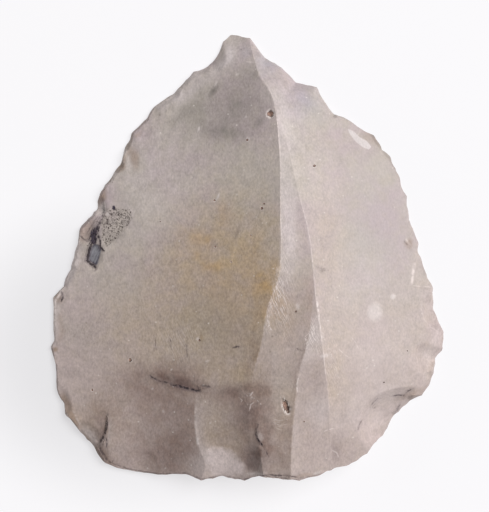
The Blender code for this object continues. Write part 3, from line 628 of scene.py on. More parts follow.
def corner_points(corners):
    return [np.array(to_metres(across / 1000, along / 1000)) for across, along, bow in corners]


def away_from(start, end, x, y):
    """How far each place lies from a straight stretch."""
    run = end - start
    share = np.clip(((x - start[0]) * run[0] + (y - start[1]) * run[1]) / (run @ run), 0, 1)
    return np.hypot(x - start[0] - share * run[0], y - start[1] - share * run[1])


def depth_inside(corners, x, y):
    """How far each place lies inside a patch, in mm, less than 0 outside it."""
    points = np.array(corners) * MM
    nearest = np.full_like(x, np.inf)
    inside = np.zeros(len(x), bool)
    for start, end in zip(points, np.roll(points, -1, axis=0)):
        nearest = np.minimum(nearest, away_from(start, end, x, y))
        spans = (start[1] > y) != (end[1] > y)
        rise = end[1] - start[1] if end[1] != start[1] else MM
        inside ^= spans & (x < start[0] + (y - start[1]) / rise * (end[0] - start[0]))
    return np.where(inside, nearest, -nearest) / MM


def bowed_outline():
    """The whole outline as points, each stretch between two corners an arc with its bow."""
    corners = (*RIGHT_EDGE, *BUTT, *LEFT_EDGE)
    places = corner_points(corners)
    points = []
    for corner, start, end in zip(corners, places, (*places[1:], places[0])):
        chord = end - start
        outward = np.array((-chord[1], chord[0]))
        for k in range(ARC_POINTS):
            u = k / ARC_POINTS
            points.append(start + chord * u + outward * corner[2] * 4 * u * (1 - u))
    return np.array(points)


def ridges(along):
    """Where the ridges lie across the face at each height, in order from left to right."""
    main = profile(MAIN_RIDGE, along)
    right = np.where(along < RIGHT_RIDGE[-1][0], profile(RIGHT_RIDGE, along), main)
    right = np.maximum(right, main + 3 * RIDGE_GAP)
    low_left = np.clip(profile(LOW_LEFT_RIDGE, along), main + RIDGE_GAP, right - 2 * RIDGE_GAP)
    low_right = np.clip(profile(LOW_RIGHT_RIDGE, along), low_left + RIDGE_GAP, right - RIDGE_GAP)
    return main, low_left, low_right, right


def left_facet(across, along):
    """The wide left scar: it rises to the main ridge and sags a little in its middle."""
    main = profile(MAIN_RIDGE, along)
    share = np.clip((main - across) / (main + profile(LEFT_SIDE, along)), 0, 1)
    sag = LEFT_SAG * profile(LEFT_SIDE, along) * 4 * share * (1 - share)
    return profile(LEFT_FACET, along) + LEFT_SLOPE * across - sag


def right_height_at_tip(along):
    place = profile(MAIN_RIDGE, along)
    return profile(LEFT_FACET, along) + (LEFT_SLOPE + profile(RIGHT_SLOPE, along)) * place


def right_facet(across, along):
    """The wide right scar, which meets the left one along the main ridge near the tip."""
    slope = profile(RIGHT_SLOPE, along)
    tip = [(t, right_height_at_tip(t)) for t in TIP_STATIONS]
    ridge = profile(RIGHT_RIDGE, along)
    share = np.clip((across - ridge) / (profile(RIGHT_SIDE, along) - ridge + RIDGE_GAP), 0, 1)
    sag = RIGHT_SAG * profile(RIGHT_SIDE, along) * 4 * share * (1 - share)
    return profile((*RIGHT_FACET, *tip), along) - slope * across - sag


def scars_from_the_butt(across, along):
    """Depth of the hollows that run in from the butt, with a ridge left between them."""
    lines = [profile(line, along) for line in SCAR_LINES]
    depth = np.where(across < lines[0], DEPTH_AT_LINES[0], DEPTH_AT_LINES[-1])
    for k, sink in enumerate(SCAR_SINKS):
        share = (across - lines[k]) / (lines[k + 1] - lines[k])
        run = DEPTH_AT_LINES[k + 1] - DEPTH_AT_LINES[k]
        height = DEPTH_AT_LINES[k] + run * share + sink * 4 * share * (1 - share)
        depth = np.where((share >= 0) & (share < 1), height, depth)
    run = np.clip(1 - along / profile(BUTT_SCAR_TOP, across), 0, BEHIND_THE_BUTT)
    return depth * run ** SCAR_STEEPENING


def facets(across, along):
    """The main facets of the dorsal face, joined along the ridges."""
    main, low_left, low_right, right = ridges(along)
    at_main = left_facet(main, along)
    at_right = right_facet(right, along)
    reach = right - main
    at_low_left = at_main + (at_right - at_main) * (low_left - main) / reach
    at_low_left = at_low_left + profile(LOW_LEFT_LIFT, along)
    at_low_right = at_main + (at_right - at_main) * (low_right - main) / reach
    at_low_right = at_low_right + profile(LOW_RIGHT_LIFT, along)
    height = left_facet(across, along)
    strips = (
        (main, low_left, at_main, at_low_left),
        (low_left, low_right, at_low_left, at_low_right),
        (low_right, right, at_low_right, at_right),
    )
    for start, end, at_start, at_end in strips:
        share = (across - start) / (end - start)
        height = np.where(across > start, at_start + (at_end - at_start) * share, height)
    height = np.where(across > right, right_facet(across, along), height)
    return height - TIP_FALL * np.clip(along - TIP_FOLD, 0, None)


def ripples(across, along):
    """Faint waves on the ventral face, spreading from where the blow fell."""
    x, y = to_metres(across, along)
    blow_x, blow_y = to_metres(BULB[0], 0)
    away = np.hypot(x - blow_x, y - blow_y)
    presence = np.clip((away - RIPPLES_START) / (RIPPLES_FULL - RIPPLES_START), 0, 1)
    return RIPPLE_HEIGHT * presence * np.sin(math.pi * away / RIPPLE_SPACING) ** 2


def spread(across, along, middle_across, middle_along, half_width, half_length):
    """How far each place lies from a middle, in its half sizes, squared."""
    aside, above = across - middle_across, along - middle_along
    return (aside / half_width) ** 2 + (above / half_length) ** 2


def ventral(across, along):
    """Height of the ventral face over the surface it lies on, flat on the bulb."""
    bulb = BULB_HEIGHT * np.exp(-spread(across, along, *BULB))
    hollow = VENTRAL_HOLLOW * np.clip(1 - spread(across, along, *HOLLOW_PLACE), 0, 1) ** 2
    sweep = BUTT_LIFT * np.clip(1 - along / BUTT_SWEEP, 0, 1.2) ** 2
    return np.maximum(sweep + hollow - bulb, 0) + ripples(across, along)


def edge_trim(x, y):
    """The slope that each small scar cuts in from the sharp edge, and the tint of that scar."""
    random = np.random.default_rng(RETOUCH_SEED)
    outline = bowed_outline()
    line = np.vstack((outline[len(RIGHT_EDGE + BUTT) * ARC_POINTS:], outline))
    rise = np.full_like(x, np.inf)
    tint = np.zeros_like(x)
    gentlest, steepest = TRIM_ANGLES
    for k in range(len(LEFT_EDGE) + len(RIGHT_EDGE)):
        steepness = random.uniform(0, 1) ** TRIM_LEAN
        slope = math.tan(math.radians(gentlest + (steepest - gentlest) * steepness))
        shade = 0.5 + random.uniform(-0.5, 0.5) * (1.0 if k < len(LEFT_EDGE) else WORN_ON_RIGHT)
        arc = line[k * ARC_POINTS:(k + 1) * ARC_POINTS + 1]
        for start, end in zip(arc[:-1], arc[1:]):
            above = slope * away_from(start, end, x, y)
            lower = above < rise
            rise = np.where(lower, above, rise)
            tint = np.where(lower, shade, tint)
    return rise, tint


def soft_minimum(first, second, softness):
    """The lower of two heights, rounded where they cross."""
    blend = np.clip(0.5 + 0.5 * (second - first) / softness, 0, 1)
    return second + (first - second) * blend - softness * blend * (1 - blend)


def retouch(x, y):
    """Depth of the row of small scars along the sharp edge, one for each stretch of it."""
    random = np.random.default_rng(RETOUCH_SEED)
    places = corner_points((*LEFT_EDGE, *RIGHT_EDGE, BUTT[0]))
    depth = np.zeros_like(x)
    for start, end in zip(places[:-1], places[1:]):
        chord = end - start
        half = np.hypot(*chord) / 2
        reach = random.uniform(*SCAR_REACH) * 2 * half
        sink = random.uniform(*SCAR_DEPTH)
        if start[1] > NEAR_THE_TIP * LENGTH:
            sink *= TIP_SCARS
        run = ((x - start[0]) * chord[0] + (y - start[1]) * chord[1]) / (2 * half) - half
        off = ((x - start[0]) * chord[1] - (y - start[1]) * chord[0]) / (2 * half)
        inside = 1 - (run / (half * RETOUCH_OVERLAP)) ** 2 - (off / reach) ** 2
        depth = np.maximum(depth, sink * np.clip(inside, 0, 1) ** RETOUCH_BOWL)
    return depth


def finer_relief(x, y):
    """How far the steps, hollows and gentle swells of the surface lie below its facets."""
    depth = np.zeros_like(x)
    for places, drop, reach in STEPS:
        offset, strength = line_marks(((places, 1.0, 1.0),), x, y, STEP_REACH)
        below = np.exp(-np.clip(offset, 0, None) / reach) * strength
        depth = depth + np.where(offset > 0, drop * MM * below, 0)
    for *spot, drop in HOLLOWS:
        depth = depth + drop * MM * soft_spots(((*spot, 1.0),), x, y, HOLLOW_CRISPNESS)
    swell = sum(height * wavering(x, y, size, shift) for height, size, shift in SWELLS)
    height, size, shift = CORTEX_SWELLS
    rough = height * wavering(x, y, size, shift)
    rough = rough * np.clip(depth_inside(CORTEX, x, y) / CORTEX_RIM, 0, 1)
    return depth + (swell + rough) * MM


def dorsal(across, along):
    """Height of the dorsal face in metres, how deep its edge is trimmed in mm, and the tint."""
    height = THICKNESS * (facets(across, along) - scars_from_the_butt(across, along))
    under = ventral(across, along)
    thinnest = under + EDGE_THICKNESS
    for scar in EDGE_SCARS:
        reach = np.sqrt(spread(across, along, *scar))
        height = thinnest + (height - thinnest) * np.clip(reach, 0, 1) ** EDGE_SCAR_BOWL
    x, y = to_metres(across, along)
    rise, tint = edge_trim(x, y)
    trimmed = soft_minimum(height, thinnest + rise, TRIM_SOFTNESS)
    whole = np.maximum(trimmed - retouch(x, y) - finer_relief(x, y), under + SHARP_EDGE)
    return whole, (height - thinnest - rise) / MM, tint


def lean(across, along):
    """Slope of the butt's wall, in under the edge."""
    limits = np.array([limit for limit, slope in BUTT_FACETS])
    slopes = np.array([slope for limit, slope in BUTT_FACETS])
    return np.where(along < BUTT_REACH, slopes[np.searchsorted(limits, across)], 0)


def flake_cage():
    """A flat block on a grid, its place in the square and its level kept in its corners."""
    bm = bmesh.new()
    bmesh.ops.create_grid(bm, x_segments=CELLS, y_segments=CELLS, size=1.0)
    grown = bmesh.ops.extrude_face_region(bm, geom=bm.faces[:])
    for item in grown["geom"]:
        if isinstance(item, bmesh.types.BMVert):
            item.co.z = 1
    upright = [edge for edge in bm.edges if edge.verts[0].co.z != edge.verts[1].co.z]
    bmesh.ops.subdivide_edges(bm, edges=upright, cuts=RINGS, use_grid_fill=True)
    upper = [edge for edge in bm.edges if min(vert.co.z for vert in edge.verts) == 1]
    bmesh.ops.subdivide_edges(bm, edges=upper, cuts=1, use_grid_fill=True)
    return bm


def circled(values, angle, turn):
    """Read values given at rising turns of a full circle, at any angle."""
    return np.interp(angle, turn, values, period=2 * math.pi)


def laid_on_ridges(cage, across, along):
    """Move, in each row of the dorsal grid, the place nearest to each ridge onto that ridge."""
    on_top = np.flatnonzero(cage[:, 2] == 1)
    order = on_top[np.lexsort((cage[on_top, 0], cage[on_top, 1]))]
    rows = order.reshape(2 * CELLS + 1, 2 * CELLS + 1)[1:-1]
    across = across.copy()
    ridge = np.zeros(len(across), int)
    row_across, row_along = across[rows], along[rows]
    main, low_left, low_right, right = ridges(row_along)
    lines = (
        (main, np.ones_like(main, bool)), (right, right - main > CLEAR_OF_RIDGE),
        (low_right, np.minimum(right - low_right, low_right - main) > CLEAR_OF_RIDGE),
        (low_left, np.minimum(low_right - low_left, low_left - main) > CLEAR_OF_RIDGE),
        (profile(BUTT_RIDGE, row_along), row_along < BUTT_RIDGE_END),
    )
    for number, (line, valid) in enumerate(lines, 1):
        beyond = row_across - line
        row, column = np.nonzero((beyond[:, :-1] < 0) & (beyond[:, 1:] >= 0))
        column = column + (np.abs(beyond[row, column]) > np.abs(beyond[row, column + 1]))
        inside = (column > 0) & (column < rows.shape[1] - 1) & valid[row, column]
        row, column = row[inside], column[inside]
        free = ridge[rows[row, column]] == 0
        row, column = row[free], column[free]
        across[rows[row, column]] = line[row, column]
        ridge[rows[row, column]] = number
    return across, ridge


def ragged_edge(angle):
    """How far small notches and raggedness move the edge out or in at each angle."""
    round_x, round_y = np.cos(angle), np.sin(angle)
    ragged = EDGE_RAGGEDNESS * wavering(round_x, round_y, *RAGGED_SWELLS)
    return ragged + NOTCHES * (NOTCH_REST - np.abs(wavering(round_x, round_y, *NOTCH_SWELLS)))


def smooth_reach(reach, turn, angle):
    """How far the outline reaches from the centre once its corners are smoothed away."""
    turns = np.linspace(-math.pi, math.pi, SMOOTH_TURNS + 1)[:-1]
    window = np.hanning(SMOOTHED_OVER)
    smooth = np.tile(circled(reach, turns, turn), 3)
    smooth = np.convolve(smooth, window / window.sum(), "same")[SMOOTH_TURNS:2 * SMOOTH_TURNS]
    return circled(smooth, angle, turns)


def laid_on_outline(cage):
    """Where each place of the cage comes to lie, and the height of the wall at its level."""
    level = cage[:, 2]
    disc_x = cage[:, 0] * np.sqrt(1 - cage[:, 1] ** 2 / 2)
    disc_y = cage[:, 1] * np.sqrt(1 - cage[:, 0] ** 2 / 2)
    share = np.hypot(disc_x, disc_y)
    angle = np.arctan2(disc_y, disc_x)

    centre = np.array(to_metres(*CENTRE))
    outline = bowed_outline() - centre
    turn = np.arctan2(outline[:, 1], outline[:, 0])
    order = np.argsort(turn)
    turn, outline = turn[order], outline[order]
    reach = np.hypot(*outline.T)
    rim_across, rim_along = to_shares(*(outline + centre).T)
    rim_top = dorsal(rim_across, rim_along)[0]
    rim_low = ventral(rim_across, rim_along)
    rim_lean = lean(rim_across, rim_along)

    top = circled(rim_top, angle, turn)
    low = circled(rim_low, angle, turn)
    slope = circled(rim_lean, angle, turn)
    drop = (top - low) * (1 - level)
    rounding = EDGE_ROUNDING * (2 * level - 1) ** 2 * (slope == 0)
    rim = circled(reach, angle, turn) - slope * drop - rounding + ragged_edge(angle)
    inner = smooth_reach(reach, turn, angle)
    out = share * (inner + (rim - inner) * share ** ROUNDED_INSIDE)
    x = centre[0] + out * np.cos(angle)
    y = centre[1] + out * np.sin(angle)
    return x, y, low + (top - low) * level


def flake_mesh():
    """The flake: a cage laid onto the outline, its faces and walls set to their heights."""
    bm = flake_cage()
    cage = np.array([vert.co for vert in bm.verts])
    level = cage[:, 2]
    x, y, wall = laid_on_outline(cage)
    across, along = to_shares(x, y)
    across, ridge = laid_on_ridges(cage, across, along)
    x, y = to_metres(across, along)
    face_top, trim, tint = dorsal(across, along)
    face_low = ventral(across, along)
    z = np.where(level == 1, face_top, np.where(level == 0, face_low, wall))
    for vert, spot in zip(bm.verts, zip(x, y, z)):
        vert.co = spot
    bm.verts.ensure_lookup_table()
    bmesh.ops.connect_verts(bm, verts=[vert for vert in bm.verts if ridge[vert.index]])
    bmesh.ops.recalc_face_normals(bm, faces=bm.faces)
    for face in bm.faces:
        face.smooth = True
    for edge in bm.edges:
        start, end = (ridge[vert.index] for vert in edge.verts)
        on_one_ridge = start != 0 and start == end
        edge.smooth = not on_one_ridge and edge.calc_face_angle(0) < SHARPEST
    mesh = bpy.data.meshes.new("flint_flake")
    bm.to_mesh(mesh)
    bm.free()
    paint_marks(mesh, x, y, level == 1, trim, tint)
    return mesh


def wavering(x, y, size, shift):
    """Smooth noise between about -1 and 1, with swells of one size."""
    places = zip(x / size, y / size)
    return np.array([noise.noise((a, b, shift)) for a, b in places])


def soft_spots(spots, x, y, crispness=2):
    """How strongly each place is covered by any of the spots."""
    bare = np.ones_like(x)
    for right, up, half_width, half_height, turn, strength in spots:
        cosine, sine = math.cos(math.radians(turn)), math.sin(math.radians(turn))
        aside, above = x / MM - right, y / MM - up
        along_width = (aside * cosine + above * sine) / half_width
        along_height = (above * cosine - aside * sine) / half_height
        reach = np.hypot(along_width, along_height)
        bare = bare * (1 - strength * np.exp(-reach ** crispness))
    return 1 - bare


def line_marks(lines, x, y, within=MARK_REACH):
    """Offset from the nearest thin mark, in its half widths and signed, and its strength."""
    nearest = np.full_like(x, np.inf)
    offset = np.zeros_like(x)
    strength = np.zeros_like(x)
    for places, half_width, weight in lines:
        points = np.array(places) * MM
        stretches = np.hypot(*(points[1:] - points[:-1]).T)
        whole = stretches.sum()
        passed = 0
        for start, end, length in zip(points[:-1], points[1:], stretches):
            way = (end - start) / length
            run = (x - start[0]) * way[0] + (y - start[1]) * way[1]
            off = (x - start[0]) * way[1] - (y - start[1]) * way[0]
            beyond = np.maximum(np.maximum(-run, run - length), 0)
            reach = np.hypot(off, beyond)
            closer = reach < nearest
            to_end = np.minimum(passed + run, whole - passed - run)
            fade = np.clip(to_end / (MARK_FADE * whole), 0, 1)
            near = np.clip(2 - reach / (within * MM), 0, 1)
            nearest = np.where(closer, reach, nearest)
            offset = np.where(closer, off / (half_width * MM), offset)
            strength = np.where(closer, weight * fade * near, strength)
            passed += length
    return np.clip(offset, -FARTHEST_OFFSET, FARTHEST_OFFSET), strength


def along_ridge(ridge, low, high, aside, half_width, strength):
    """A thin mark that follows one of the ridges, a little to one side of it."""
    places = []
    for along in np.linspace(low, high, RIDGE_POINTS):
        place = to_metres(float(profile(ridge, along)), along)
        places.append((place[0] / MM + aside, place[1] / MM))
    return places, half_width, strength


def along_butt(inset, half_width, strength):
    """A thin dark mark that follows the butt just inside its edge."""
    middle = np.array(to_metres(*CENTRE))
    places = []
    for place in corner_points((*BUTT[2:], *LEFT_EDGE[:5])):
        inward = (middle - place) / np.hypot(*(middle - place))
        places.append(tuple((place + inward * inset) / MM))
    return places, half_width, strength


def strokes(rows):
    """Short leaning marks in rows, such as the fine splits that run down beside the ridges."""
    random = np.random.default_rng(STROKE_SEED)
    marks = []
    for first, last, count, length, leaning, strength in rows:
        for share in np.linspace(0, 1, count):
            middle = np.array(first) + (np.array(last) - first) * share
            middle = middle + random.uniform(-STROKE_SCATTER, STROKE_SCATTER, 2)
            angle = math.radians(leaning + random.uniform(-STROKE_TURN, STROKE_TURN))
            half = np.array((math.sin(angle), -math.cos(angle))) * length
            half = half * random.uniform(*STROKE_HALF_LENGTH)
            bend = np.array(STROKE_BEND) * random.uniform(-1, 1)
            places = (tuple(middle - half), tuple(middle + bend), tuple(middle + half))
            half_width = random.uniform(*STROKE_HALF_WIDTH)
            marks.append((places, half_width, strength * random.uniform(*STROKE_STRENGTH)))
    return marks


def scar_number(x, y):
    """Which of the wide scars each place belongs to, counted from the left."""
    across, along = to_shares(x, y)
    main, low_left, low_right, right = ridges(along)
    return (across > main) * 1 + (across > low_right) * 1 + (across > right) * 1


def stains(spots, x, y, scar, crispness=2):
    """Soft spots that stop short at the ridges, each staying on the scar its middle lies on."""
    bare = np.ones_like(x)
    low = np.clip(0.5 - (y / MM - CLOUDED) / CLOUDED_FADE, 0, 1)
    for spot in spots:
        own = scar_number(np.array([spot[0] * MM]), np.array([spot[1] * MM]))[0]
        spill = SPILL + (1 - SPILL) * low * (np.maximum(scar, own) < 2)
        cover = soft_spots((spot,), x, y, crispness)
        bare = bare * (1 - cover * np.where(scar == own, 1, spill))
    return 1 - bare


def side_shades(sides, x, y):
    """Shade that starts crisply at a line and fades away to the right of it."""
    bare = np.ones_like(x)
    for places, reach, strength in sides:
        offset, presence = line_marks(((places, 1.0, 1.0),), x, y, SIDE_EXTENT * reach)
        cover = np.exp(-(np.clip(offset, 0, None) / reach) ** SIDE_FALL)
        cover = cover * np.clip(offset / SIDE_START, 0, 1)
        bare = bare * (1 - strength * presence * cover)
    return 1 - bare


def paint_marks(mesh, x, y, on_top, trim, tint):
    """Store the tints and marks on the mesh, for the material to read."""
    top = x[on_top], y[on_top]
    swaying = [
        place + SWAY * wavering(*top, SWAY_SIZE, shift) for place, shift in zip(top, SWAY_SHIFTS)]
    scar = scar_number(*top)
    lit = side_shades(LIGHT_SIDES, *top)
    shaded = side_shades(DARK_SIDES, *top)
    marks = {
        "olive": stains(OLIVE_STAIN, *swaying, scar),
        "ochre": stains(OCHRE_STAIN, *swaying, scar),
        "slate": stains(SLATE_CLOUD, *swaying, scar),
        "dusk": stains(DARK_SPOTS_AND_PAINTED_SHADE, *top, scar),
        # The mauve mark also carries the painted shade beside lines, and the pale mark the painted
        # light beside them
        "mauve": 1 - (1 - stains(MAUVE_CLOUD_AND_PAINTED_SHADE, *swaying, scar)) * (1 - shaded),
        "grey": stains(GREY_CLOUD, *swaying, scar),
        "pale": 1 - (1 - stains(PALE_SPOTS_AND_PAINTED_LIGHT, *swaying, scar, 3)) * (1 - lit),
        "crisp_pale": soft_spots(CRISP_PALE, *top, 6),
        "tan": soft_spots(TAN_EDGE, *swaying, 4),
        "ink": soft_spots(INK_SPOT, *top, 3),
        "window": depth_inside(BLUE_WINDOW, *top),
        "leaf": depth_inside(PALE_LEAF, *top),
        "cortex": depth_inside(CORTEX, *top),
        "butt_chip": depth_inside(BUTT_CHIP, *top),
        "hackle": stains(HACKLE, *top, scar),
        "calm": soft_spots(CALM, *top),
        "specked": soft_spots(SPECKED, *top),
        "trim": trim[on_top],
        "trim_tint": tint[on_top],
    }
    ridge_highlights = (along_ridge(*wear_and_highlight) for wear_and_highlight in RIDGE_HIGHLIGHTS)
    dark_lines = (*DARK_LINES, *strokes(INK_ROWS), along_butt(*BUTT_LINE))
    pale_lines = (*PALE_LINES, *strokes(HACKLE_ROWS), *ridge_highlights)
    for name, lines in (("dark", dark_lines), ("pale", pale_lines)):
        marks[name + "_offset"], marks[name + "_strength"] = line_marks(lines, *top)
    for name, values in marks.items():
        whole = np.zeros(len(x))
        whole[on_top] = values
        mesh.attributes.new(name, "FLOAT", "POINT").data.foreach_set("value", whole)


class Paint:
    """A node tree, with short ways to add the nodes that its colours and masks need."""

    def __init__(self, tree):
        self.tree = tree

    def add(self, kind, inputs=None, **settings):
        """Add a node, with its settings, and set or link its inputs."""
        node = self.tree.nodes.new(kind)
        for name, value in settings.items():
            setattr(node, name, value)
        for name, value in (inputs or {}).items():
            if isinstance(value, bpy.types.NodeSocket):
                self.tree.links.new(value, node.inputs[name])
            else:
                node.inputs[name].default_value = value
        return node

    def sums(self, operation, first, second=0.0, third=0.0, **settings):
        inputs = {0: first, 1: second, 2: third}
        return self.add("ShaderNodeMath", inputs, operation=operation, **settings).outputs[0]

    def times(self, *values):
        product = values[0]
        for value in values[1:]:
            product = self.sums("MULTIPLY", product, value)
        return product

    def times_plus(self, value, factor, more):
        return self.sums("MULTIPLY_ADD", value, factor, more)

    def vector(self, operation, first, second=(0.0, 0.0, 0.0)):
        return self.add("ShaderNodeVectorMath", {0: first, 1: second}, operation=operation).outputs

    def ramp(self, value, low, high, to_low=0.0, to_high=1.0):
        """Bring a value from one range smoothly into another."""
        inputs = {
            "Value": value, "From Min": low, "From Max": high, "To Min": to_low, "To Max": to_high}
        return self.add("ShaderNodeMapRange", inputs, interpolation_type="SMOOTHSTEP").outputs[0]

    def blend(self, mask, under, over):
        """Lay one colour over another where the mask says so."""
        under, over = ((*tint, 1) if isinstance(tint, tuple) else tint for tint in (under, over))
        return self.add("ShaderNodeMix", {0: mask, 6: under, 7: over}, data_type="RGBA").outputs[2]

    def speckle(self, place, scale, detail=2.0, roughness=0.5):
        inputs = {"Vector": place, "Scale": scale, "Detail": detail, "Roughness": roughness}
        return self.add("ShaderNodeTexNoise", inputs).outputs["Fac"]

    def spot(self, place, right, up, half_width, half_height, turn=0):
        """Places measured from the middle of a turned spot, in its half widths and heights."""
        inputs = {
            "Vector": place, "Location": (right, up, 0), "Rotation": (0, 0, math.radians(turn)),
            "Scale": (half_width, half_height, 1)}
        return self.add("ShaderNodeMapping", inputs, vector_type="TEXTURE").outputs[0]

    def mark(self, name):
        """A tint or mark that is stored on the mesh."""
        return self.add("ShaderNodeAttribute", attribute_name=name).outputs["Fac"]


class Flint(Paint):
    """The flint's nodes, with the textures that several of its marks share."""

    def __init__(self, tree):
        super().__init__(tree)
        self.place = self.add("ShaderNodeTexCoord").outputs["Object"]
        grain = self.add("ShaderNodeMapping", {"Vector": self.place, "Scale": GRAIN_STRETCH})
        self.patches = self.speckle(self.place, PATCHES, 2.0, 0.6)
        self.mottle = self.speckle(grain.outputs[0], MOTTLE, 4.0, 0.75)
        self.fine = self.speckle(grain.outputs[0], FINE_GRAIN, 1.0, 0.6)
        self.gaps = self.speckle(self.place, GAPS, 0.0)
        self.warmth = self.ramp(self.speckle(self.place, WARMTH, 4.0, 0.75), 0.44, 0.64)
        self.ragged = self.times(self.from_middle(self.fine), 1.6)

    def from_middle(self, texture):
        return self.sums("SUBTRACT", texture, 0.5)

    def cells(self, scale):
        return self.add("ShaderNodeTexVoronoi", {"Vector": self.place, "Scale": scale}).outputs

    def dots(self, cells, core, rim):
        """Small dots in the middle of the cells."""
        return self.ramp(cells["Distance"], core, rim, 1.0, 0.0)

    def lay(self, shade, tint, *masks):
        """Lay a colour over the shade, by the product of the masks."""
        return self.blend(self.times(*masks), shade, tint)


def clouded(flint):
    """The stone itself, with its clouds and stains and the painted light and shade in the pale,
    mauve and dusk marks, each broken up by the patches.
    """
    broad = flint.ramp(flint.speckle(flint.place, BROAD_CLOUDS, 3.0, 0.6), 0.35, 0.65)
    shade = flint.blend(broad, PINKISH_STONE, YELLOWISH_STONE)
    up = flint.add("ShaderNodeSeparateXYZ", {0: flint.place}).outputs["Y"]
    shade = flint.lay(shade, STONE_BY_THE_BUTT, flint.ramp(up, 12 * MM, -26 * MM, 0.0, 0.9))
    warming = flint.times_plus(flint.mark("olive"), 0.25, 0.10)
    shade = flint.lay(shade, WARM_STONE, flint.warmth, warming)
    broken = flint.ramp(flint.patches, 0.3, 0.7, 0.72, 1.2)
    for name, tint in STAIN_COLOURS:
        cover = flint.sums("MULTIPLY", flint.mark(name), broken, use_clamp=True)
        shade = flint.lay(shade, tint, cover)
    return shade


def with_cortex(flint, shade):
    """The cortex, rough and wormy, and the bluish window, ink and chip beside it."""
    cortex = flint.ramp(flint.times_plus(flint.patches, 1.2, flint.mark("cortex")), 0.55, 0.95)
    worms = flint.sums("ABSOLUTE", flint.from_middle(flint.speckle(flint.place, WORMS, 1.0)))
    worms = flint.ramp(worms, 0.010, 0.045, 0.85, 0.0)
    hollows = flint.sums("MAXIMUM", flint.dots(flint.cells(HOLES), 0.16, 0.36), worms)
    hollows = flint.times(hollows, flint.ramp(flint.mottle, 0.38, 0.50), cortex)
    shade = flint.lay(shade, CORTEX_CRUST, cortex, 0.45)
    shade = flint.lay(shade, CORTEX_HOLLOW, hollows, 0.85)

    veins = flint.speckle(flint.spot(flint.place, 0, 0, *VEINS), 1.0, 2.0, 0.7)
    glaze = flint.ramp(flint.times_plus(veins, 2.4, flint.mark("window")), 1.0, 2.3)
    glaze = flint.blend(glaze, DARK_GLAZE, BLUE_GLAZE)
    shade = flint.lay(shade, glaze, flint.ramp(flint.mark("window"), -0.05, 0.30))
    ink = flint.ramp(flint.times_plus(flint.mottle, 2.2, flint.mark("ink")), 1.30, 1.70)
    shade = flint.lay(shade, INK, ink, flint.ramp(flint.mark("ink"), 0.04, 0.2))
    chip = flint.ramp(flint.times_plus(flint.patches, 2.0, flint.mark("butt_chip")), 0.7, 1.9)
    return flint.lay(shade, CHIPPED_STONE, chip, 0.80), cortex, hollows


def flecked(flint, shade):
    """Flecks of chalk, and specks of iron and soot, which are fewer where the stone is calm."""
    chalk = flint.cells(CHALK_FLECKS)
    chosen = flint.ramp(chalk["Color"], 0.48, 0.66)
    shade = flint.lay(shade, CHALK, flint.dots(chalk, 0.05, 0.13), chosen, 0.55)
    iron = flint.cells(IRON_SPECKS)
    rare = flint.ramp(iron["Color"], 0.62, 0.8)
    calm = flint.ramp(flint.mark("calm"), 0.0, 0.6, 0.8, 0.0)
    specks = flint.times(flint.dots(iron, 0.04, 0.10), rare, calm)
    soot = flint.times(
        flint.dots(flint.cells(HOLES), 0.08, 0.26), flint.times_plus(flint.warmth, 0.5, 0.5))
    return flint.lay(shade, SOOT, flint.times_plus(soot, flint.mark("specked"), specks), 0.55)


def thin_marks(flint, name, core, rim, full):
    """The thin dark or pale marks, ragged along their sides, as wide as core and rim say."""
    offset = flint.sums("ABSOLUTE", flint.mark(name + "_offset"))
    offset = flint.sums("ADD", offset, flint.ragged)
    return flint.times(flint.ramp(offset, core, rim, full, 0.0), flint.mark(name + "_strength"))


def scratched(flint, shade):
    """Hackles, scratches, painted ridge highlights, crisp pale spots, and cracks over all of them.
    """
    # A soft painted shade beside each dark line
    painted_shade_halo = flint.sums("MINIMUM", thin_marks(flint, "dark", 0.8, 3.6, 0.34), 0.4)
    broken = flint.ramp(flint.gaps, 0.36, 0.56, 0.25, 1.0)
    crack_and_step_shadow, scratch = (
        flint.sums("MINIMUM", flint.times(thin_marks(flint, name, 0.25, 1.45, 1.0), broken), 1.0)
        for name in ("dark", "pale"))
    splits = flint.speckle(flint.spot(flint.place, 0, 0, *SPLITS), 1.0, 0.0)
    hackle = flint.times(flint.ramp(splits, 0.48, 0.61), flint.mark("hackle"))
    shade = flint.lay(shade, PAINTED_SHADE_BESIDE_CRACKS, painted_shade_halo)
    shade = flint.lay(shade, HACKLED_STONE, hackle, 0.72)
    shade = flint.lay(shade, SCRATCHED_STONE, scratch, 0.85)
    shade = flint.lay(shade, CRISP_SPOT, flint.mark("crisp_pale"), 0.9)
    shade = flint.lay(shade, LEAF, flint.ramp(flint.mark("leaf"), -0.08, 0.12, 0.0, 0.75))
    # The dark lines are cracks, and painted shadow where they run below the lip of a step
    return flint.lay(shade, CRACK_AND_STEP_SHADOW, crack_and_step_shadow, 0.92), crack_and_step_shadow, scratch, hackle


def pit_group():
    """How near a place is to a small round hollow, in its radii, or to one found before."""
    tree = bpy.data.node_groups.new("pit", "ShaderNodeTree")
    for name, kind in (("Place", "NodeSocketVector"), ("Centre", "NodeSocketVector"),
                       ("Radius", "NodeSocketFloat"), ("Before", "NodeSocketFloat")):
        tree.interface.new_socket(name, in_out="INPUT", socket_type=kind)
    tree.interface.new_socket("Nearness", in_out="OUTPUT", socket_type="NodeSocketFloat")
    pit = Paint(tree)
    inside = pit.add("NodeGroupInput").outputs
    away = pit.vector("DISTANCE", inside["Place"], inside["Centre"])["Value"]
    radii = pit.sums("DIVIDE", away, inside["Radius"])
    pit.add("NodeGroupOutput", {"Nearness": pit.sums("MINIMUM", radii, inside["Before"])})
    return tree


